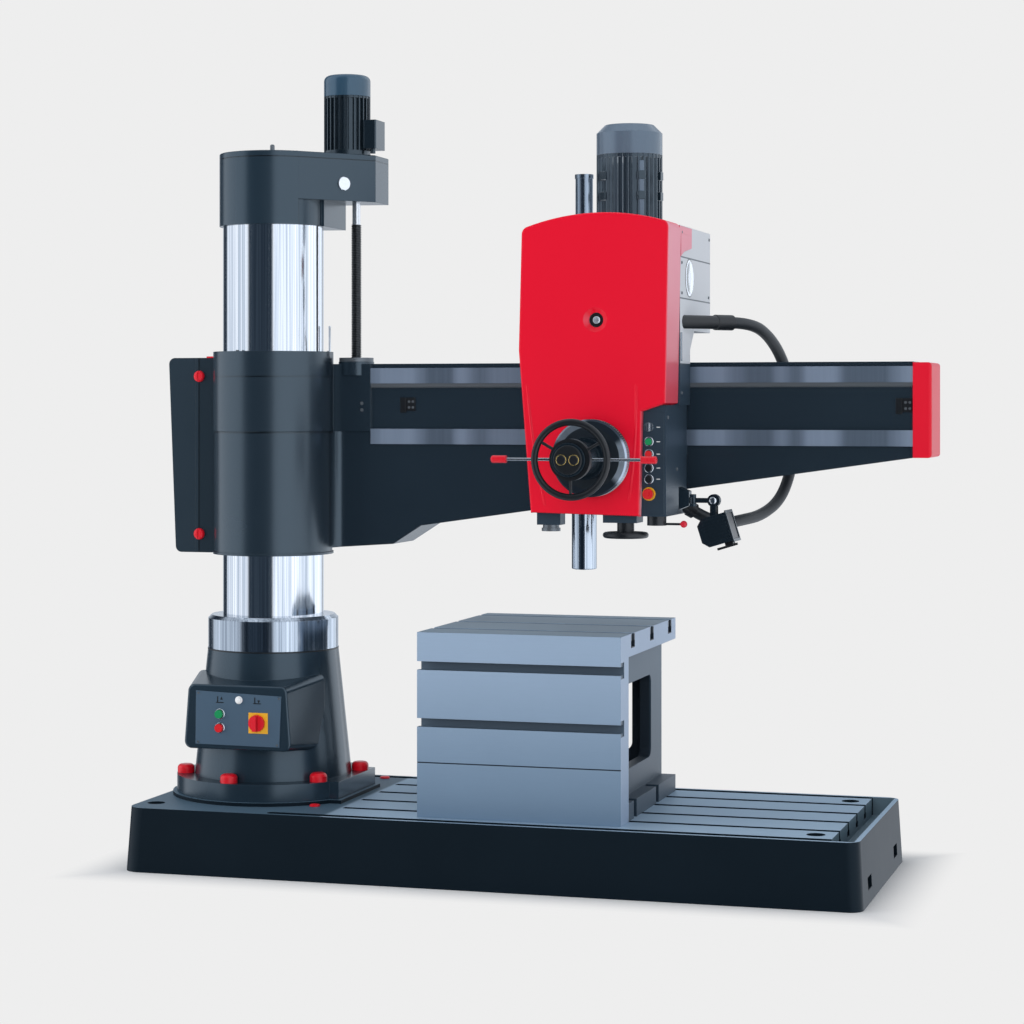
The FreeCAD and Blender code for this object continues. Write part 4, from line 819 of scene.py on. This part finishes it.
def stop_screws(bm):
    for x, y, z in ((0.309, arm_face, 1.566), (0.309, arm_face, 1.543)):
        screw(bm, (column_x + x, y, z), (0, -1, 0), 0.006, 0.002)
    for x, z in ((0.475, 1.56), (2.186, 1.557)):
        for dx, dz in ((0.005, 0.012), (0.005, -0.008), (0.019, 0.012), (0.019, -0.008)):
            screw(bm, (column_x + x + dx, web_face - 0.005, z + dz), (0, -1, 0), 0.0045, 0.002)


make("stop_screws", "arm", "dark_steel", "dark_steel", stop_screws)


def stop_rod(bm):
    place = (column_x + 0.198, 0.03, 0)
    profile = [(0.004, 1.74), (0.004, 1.828), (0.0045, 1.829), (0.0045, 1.834), (0.002, 1.835)]
    lathe(bm, profile, aimed(place, (0, 0, 1)), 20)


make("stop_rod", "arm", "silver", "steel", stop_rod)


def sleeve_screws(bm):
    for degrees in (-108, 20, 75, 165):
        a = math.radians(degrees)
        place = (column_x + 0.192 * math.cos(a), 0.192 * math.sin(a), 1.745)
        screw(bm, place, (0, 0, 1), 0.006, 0.004)


make("sleeve_screws", "arm", "dark_steel", "dark_steel", sleeve_screws)


def cabinet_trim(bm):
    brick(bm, (column_x - 0.252, -0.002, 1.7255), (column_x - 0.215, 0.05, 1.731))


make("cabinet_trim", "arm", "red_plastic", "red_plastic", cabinet_trim, 0.001)


# Head
def cover_screw(bm):
    """A bright screw with a six-lobed socket in the cover's recess."""
    matrix = aimed((spindle_x + 0.112, -0.262, 1.837), (0, -1, 0))
    steps = 60
    rings = []
    outside = [(0.012, 0, 0), (0.012, 0.008, 0), (0.010, 0.010, 0)]
    socket = [(0.0062, 0.010, 0.0014), (0.006, 0.005, 0.0014)]
    for r, h, lobe in outside + socket:
        ring = []
        for k in range(steps):
            a = 2 * math.pi * k / steps
            s = r + lobe * math.cos(6 * a)
            ring.append(bm.verts.new(matrix @ Vector((s * math.cos(a), s * math.sin(a), h))))
        rings.append(ring)
    for low, high in zip(rings, rings[1:]):
        for k in range(steps):
            n = (k + 1) % steps
            bm.faces.new((low[k], low[n], high[n], high[k]))
    bm.faces.new(rings[-1])


make("cover_screw", "head", "satin_screw", "steel", cover_screw)


def recess_floor(bm):
    profile = [(0.0238, 0), (0.0238, 0.003), (0.013, 0.003), (0.013, 0.001)]
    lathe(bm, profile, aimed((spindle_x + 0.112, -0.2615, 1.837), (0, -1, 0)), 40)


make("recess_floor", "head", "black_plastic", "black_plastic", recess_floor)


def bead(bm, points, y, width=0.010, proud=0.0032):
    """A soft raised crease on the cover's face, through (x, z) points."""
    rows = []
    for i, (x, z) in enumerate(points):
        a = Vector(points[max(i - 1, 0)])
        b = Vector(points[min(i + 1, len(points) - 1)])
        way = (b - a).normalized()
        side = Vector((way.y, -way.x)) * width / 2
        swell = proud * math.sin(math.pi * (i + 0.5) / len(points)) ** 0.5
        row = []
        for t, h in ((-1, -0.0004), (-0.6, 0.5), (0, 1.0), (0.6, 0.5), (1, -0.0004)):
            lift = swell * h if h > 0 else h
            row.append(bm.verts.new((spindle_x + x + side.x * t, y - lift, z + side.y * t)))
        rows.append(row)
    for low, high in zip(rows, rows[1:]):
        for j in range(4):
            bm.faces.new((low[j], low[j + 1], high[j + 1], high[j]))


def arc_points(start, end, bow, count=14):
    """Points from start to end with a sideways bow."""
    a, b = Vector(start), Vector(end)
    side = Vector(((b - a).y, -(b - a).x)).normalized()
    out = []
    for k in range(count):
        t = k / (count - 1)
        p = a.lerp(b, t) + side * bow * math.sin(math.pi * t)
        out.append((p.x, p.y))
    return out


def cover_creases(bm):
    bead(bm, arc_points((-0.1174, 1.626), (-0.0563, 1.234), 0.008), cover_face)
    bead(bm, arc_points((0.2484, 1.626), (0.2247, 1.2515), -0.008), cover_face)


make("cover_creases", "head", "red_cover", "red_cover", cover_creases)


def dial_moulding(bm):
    torus(bm, (hub_x, cover_face + 0.0015, hub_z), (0, 1, 0), 0.122, 0.0045, 96)


make("dial_moulding", "head", "red_cover", "red_cover", dial_moulding)


def cover_tab(bm):
    """The cover's upper corner, lapped over the head's side."""
    corners = [(-0.12, 2.150), (0.069, 2.150), (0.066, 2.084), (-0.097, 2.060), (-0.12, 2.058)]
    inner, outer = ([bm.verts.new((x, y, z)) for y, z in corners] for x in (head_side, head_side + 0.002))
    bm.faces.new(inner)
    bm.faces.new(outer)
    for k in range(5):
        n = (k + 1) % 5
        bm.faces.new((inner[k], inner[n], outer[n], outer[k]))


make("cover_tab", "head", "red_cover", "red_cover", cover_tab, 0.0008)


side_disc_place = aimed((head_side, 0.04, 1.984), (1, 0, 0))


def side_disc(bm):
    profile = [(0.0615, 0), (0.0615, 0.0012), (0.060, 0.002), (0.05, 0.002), (0.049, 0.0014), (0.02, 0.0014)]
    lathe(bm, profile, side_disc_place, 64)


def side_disc_gap(bm):
    lathe(bm, [(0.02, 0), (0.0645, 0), (0.0645, 0.0006), (0.02, 0.0006)], side_disc_place, 64)


make("side_disc", "head", "silver", "plate", side_disc)
make("side_disc_gap", "head", "black_plastic", "black_plastic", side_disc_gap)


def side_screws(bm):
    for y, z in ((-0.08, 2.13), (0.35, 2.13), (-0.08, 2.03), (0.34, 1.93), (-0.08, 1.93), (-0.08, 1.60)):
        screw(bm, (head_side, y, z), (1, 0, 0), 0.005, 0.003)
    screw(bm, (spindle_x + 0.341, -0.1, 1.35), (1, 0, 0), 0.006, 0.003)
    screw(bm, (spindle_x + 0.341, -0.23, 1.52), (1, 0, 0), 0.006, 0.003)


make("side_screws", "head", "dark_steel", "dark_steel", side_screws)


def side_strip(bm):
    brick(bm, (head_side, -0.098, 1.705), (head_side + 0.0015, -0.075, 1.80))


make("side_strip", "head", "cowl", "plate", side_strip, 0.0006)


def panel_collars(bm):
    for z, r in ((1.442, 0.011), (1.402, 0.011), (1.357, 0.011), (1.321, 0.011)):
        inner, outer = r + 0.0004, r + 0.0045
        profile = [(inner, 0), (outer, 0), (outer, 0.003), (r + 0.003, 0.004), (inner, 0.004)]
        lathe(bm, profile, aimed((spindle_x + 0.285, panel_face, z), (0, -1, 0)), 32)


make("panel_collars", "head", "silver", "steel", panel_collars)


def stop_ring(bm):
    profile = [(0.0175, 0), (0.022, 0), (0.022, 0.0015), (0.0175, 0.0015)]
    lathe(bm, profile, aimed((spindle_x + 0.285, panel_face, 1.273), (0, -1, 0)), 40)


make("emergency_stop_ring", "head", "yellow", "plate", stop_ring)


def panel_signs(bm):
    """Plain bars beside the buttons, without words."""
    for z in (1.489, 1.442, 1.402, 1.357, 1.321):
        x = spindle_x + 0.310
        brick(bm, (x, panel_face - 0.0003, z - 0.0012), (x + 0.012, panel_face, z + 0.0012))


make("panel_signs", "head", "white", "panel", panel_signs)


def hub_rings(bm):
    for side in (-1, 1):
        torus(bm, (hub_x + side * 0.0204, -0.5952, hub_z), (0, 1, 0), 0.0158, 0.0014)


make("hub_button_rings", "head", "gold", "bronze", hub_rings)


motor_place = Matrix.Translation((spindle_x + 0.143, 0.055, 0)) @ Matrix.Rotation(math.radians(-55), 4, "Z")


def motor_rail(bm):
    """The flat rail on the motor's ribs."""
    brick(bm, (0.096, -0.008, 2.19), (0.1145, 0.008, 2.375), motor_place)


def motor_clamps(bm):
    for degrees in (0, -72, 48):
        turn = motor_place @ Matrix.Rotation(math.radians(degrees), 4, "Z")
        for z in (2.259, 2.327):
            brick(bm, (0.1, -0.013, z - 0.014), (0.117, 0.013, z + 0.014), turn)


make("motor_rail", "head", "cowl", "black_paint", motor_rail, 0.002)
make("motor_clamps", "head", "black_paint", "black_paint", motor_clamps, 0.002)


def cowl_slots(bm):
    """The fan cowl's air slots, drawn as dark bars set into its top: painted shade where the openings are."""
    cx, cy, z = spindle_x + 0.143, 0.055, 2.5008
    for k in range(-5, 6):
        half = math.sqrt(max(0.07**2 - (k * 0.012) ** 2, 0))
        brick(bm, (cx - half, cy + k * 0.012 - 0.003, z - 0.001), (cx + half, cy + k * 0.012 + 0.003, z))


make("cowl_slots", "head", "black_plastic", "black_paint", cowl_slots)


# Lamp
lamp_pivot = Vector((spindle_x + 0.456, -0.052, 1.246))
lamp_centre = Vector((spindle_x + 0.468, -0.048, 1.150))
lamp_turn = Matrix.Translation(lamp_centre) @ Matrix.Rotation(math.radians(-17), 4, "Y")


def lamp_ribs(bm):
    for k in range(8):
        z = -0.036 + k * 0.0105
        brick(bm, (-0.034, -0.0545, z - 0.0022), (0.046, -0.0515, z + 0.0022), lamp_turn)


make("lamp_ribs", "lamp_head", "black_paint", "black_paint", lamp_ribs, 0.0008)


def lamp_glass(bm):
    brick(bm, (0.045, -0.047, -0.0435), (0.0505, 0.047, 0.0435), lamp_turn)


make("lamp_glass", "lamp_head", "black_button", "plate", lamp_glass, 0.0008)


def lamp_knuckle(bm):
    place = (lamp_pivot.x, lamp_pivot.y - 0.0195, lamp_pivot.z)
    profile = [(0.012, 0), (0.012, 0.003), (0.009, 0.005), (0.004, 0.0055)]
    lathe(bm, profile, aimed(place, (0, -1, 0)), 28)


make("lamp_knuckle_screw", "lamp_head", "silver", "steel", lamp_knuckle)


def lamp_handle(bm):
    matrix = lamp_turn
    brick(bm, (0.012, -0.018, -0.062), (0.04, 0.018, -0.0485), matrix)
    brick(bm, (-0.02, -0.006, -0.066), (0.05, 0.006, -0.058), matrix)


make("lamp_handle", "lamp_head", "black_plastic", "black_paint", lamp_handle, 0.0015)


# Light
def softbox(name, bearing, height, distance, width, tall, level, aim=(0.0, 0.0, 1.1)):
    """An area light. bearing is degrees to the right of the camera; level is the share of full light."""
    data = bpy.data.lights.new(name, "AREA")
    data.shape = "RECTANGLE"
    data.size = width
    data.size_y = tall
    data.energy = level * math.pi**2 * distance**2
    lamp = add_object(name, data)
    turn = azimuth + math.radians(bearing)
    reach = math.sqrt(max(distance**2 - (height - aim[2]) ** 2, 0))
    lamp.location = (aim[0] + reach * math.sin(turn), aim[1] - reach * math.cos(turn), height)
    lamp.rotation_euler = (Vector(aim) - lamp.location).to_track_quat("-Z", "Y").to_euler()
    lamp.visible_glossy = False
    return lamp


softbox("left_softbox", -80, 2.6, 6.0, 5.0, 4.2, 0.34)
softbox("front_softbox", -10, 3.2, 9.0, 5.0, 4.5, 0.40)
softbox("right_softbox", 80, 2.4, 6.0, 2.2, 4.0, 0.14)
softbox("top_softbox", 0, 6.6, 5.5, 4.5, 3.5, 0.42)

pale = srgb(238, 238, 238)
world = bpy.data.worlds.new("studio")
bpy.context.scene.world = world
world.use_nodes = True


def studio(room):
    """Pale to the eye; for mirror-like surfaces, a dark room with upright light panels."""
    x, y, z = room.parts(room.node("TexCoord", out="Generated"))
    ahead = x * toward_camera.x + y * toward_camera.y
    right = x * to_the_right.x + y * to_the_right.y
    bearing = right.math("ARCTAN2", right, ahead) * (180 / math.pi)
    panels = [(-124, -58, 0.8), (8, 84, 1.0), (92, 150, 1.0)]
    bright = sum(bearing.between(low, high, 7) * level for low, high, level in panels)
    behind = abs(bearing).ease(146, 168) * 0.55
    level = bright.most(behind) * z.ease(0.55, 0.8, 1.0, 0.35) + z.ease(0.5, 0.9) * 0.35
    mirrored = room.mix(level, (0.03, 0.045, 0.065), (1.25, 1.34, 1.46))
    rays = room.node("LightPath").socket.node.outputs
    kinds = ("Is Glossy Ray", "Is Camera Ray", "Is Transmission Ray")
    glossy, camera_ray, through = (Field(room, rays[kind]) for kind in kinds)
    ambient = room.mix(glossy, (0.24, 0.27, 0.31), mirrored)
    shown = room.mix(camera_ray.most(through), ambient, pale)
    room.put(room.tree.nodes["Background"].inputs[0], shown)


studio(Nodes(world.node_tree))


# Floor: it keeps the shadow near the machine and turns into the background further out
def make_floor():
    bm = bmesh.new()
    below = Matrix.Translation((0, 0, -0.0005))
    bmesh.ops.create_circle(bm, cap_ends=True, segments=96, radius=30, matrix=below)
    mesh = bpy.data.meshes.new("floor")
    bm.to_mesh(mesh)
    bm.free()
    floor = add_object("floor", mesh)
    f = Finish("floor", Roughness=1.0, Specular_IOR_Level=0.0)
    x, y, z = f.xyz()
    f.set(Base_Color=f.mix(f.noise(3), (0.8, 0.8, 0.8), (0.81, 0.81, 0.81)))
    away = (abs(x) - 1.23).most(abs(y) - 0.47)
    glow = f.node("Emission", values={0: pale, 1: 1.0})
    surface = Field(f, f.shader.outputs[0])
    both = f.node("MixShader", values={0: away.ease(-0.02, 0.22), 1: surface, 2: glow})
    f.put(f.tree.nodes["Material Output"].inputs[0], both)
    mesh.materials.append(f.material)
    floor.visible_glossy = False


make_floor()
bpy.context.scene.view_settings.view_transform = "Standard"

bpy.context.view_layer.update()
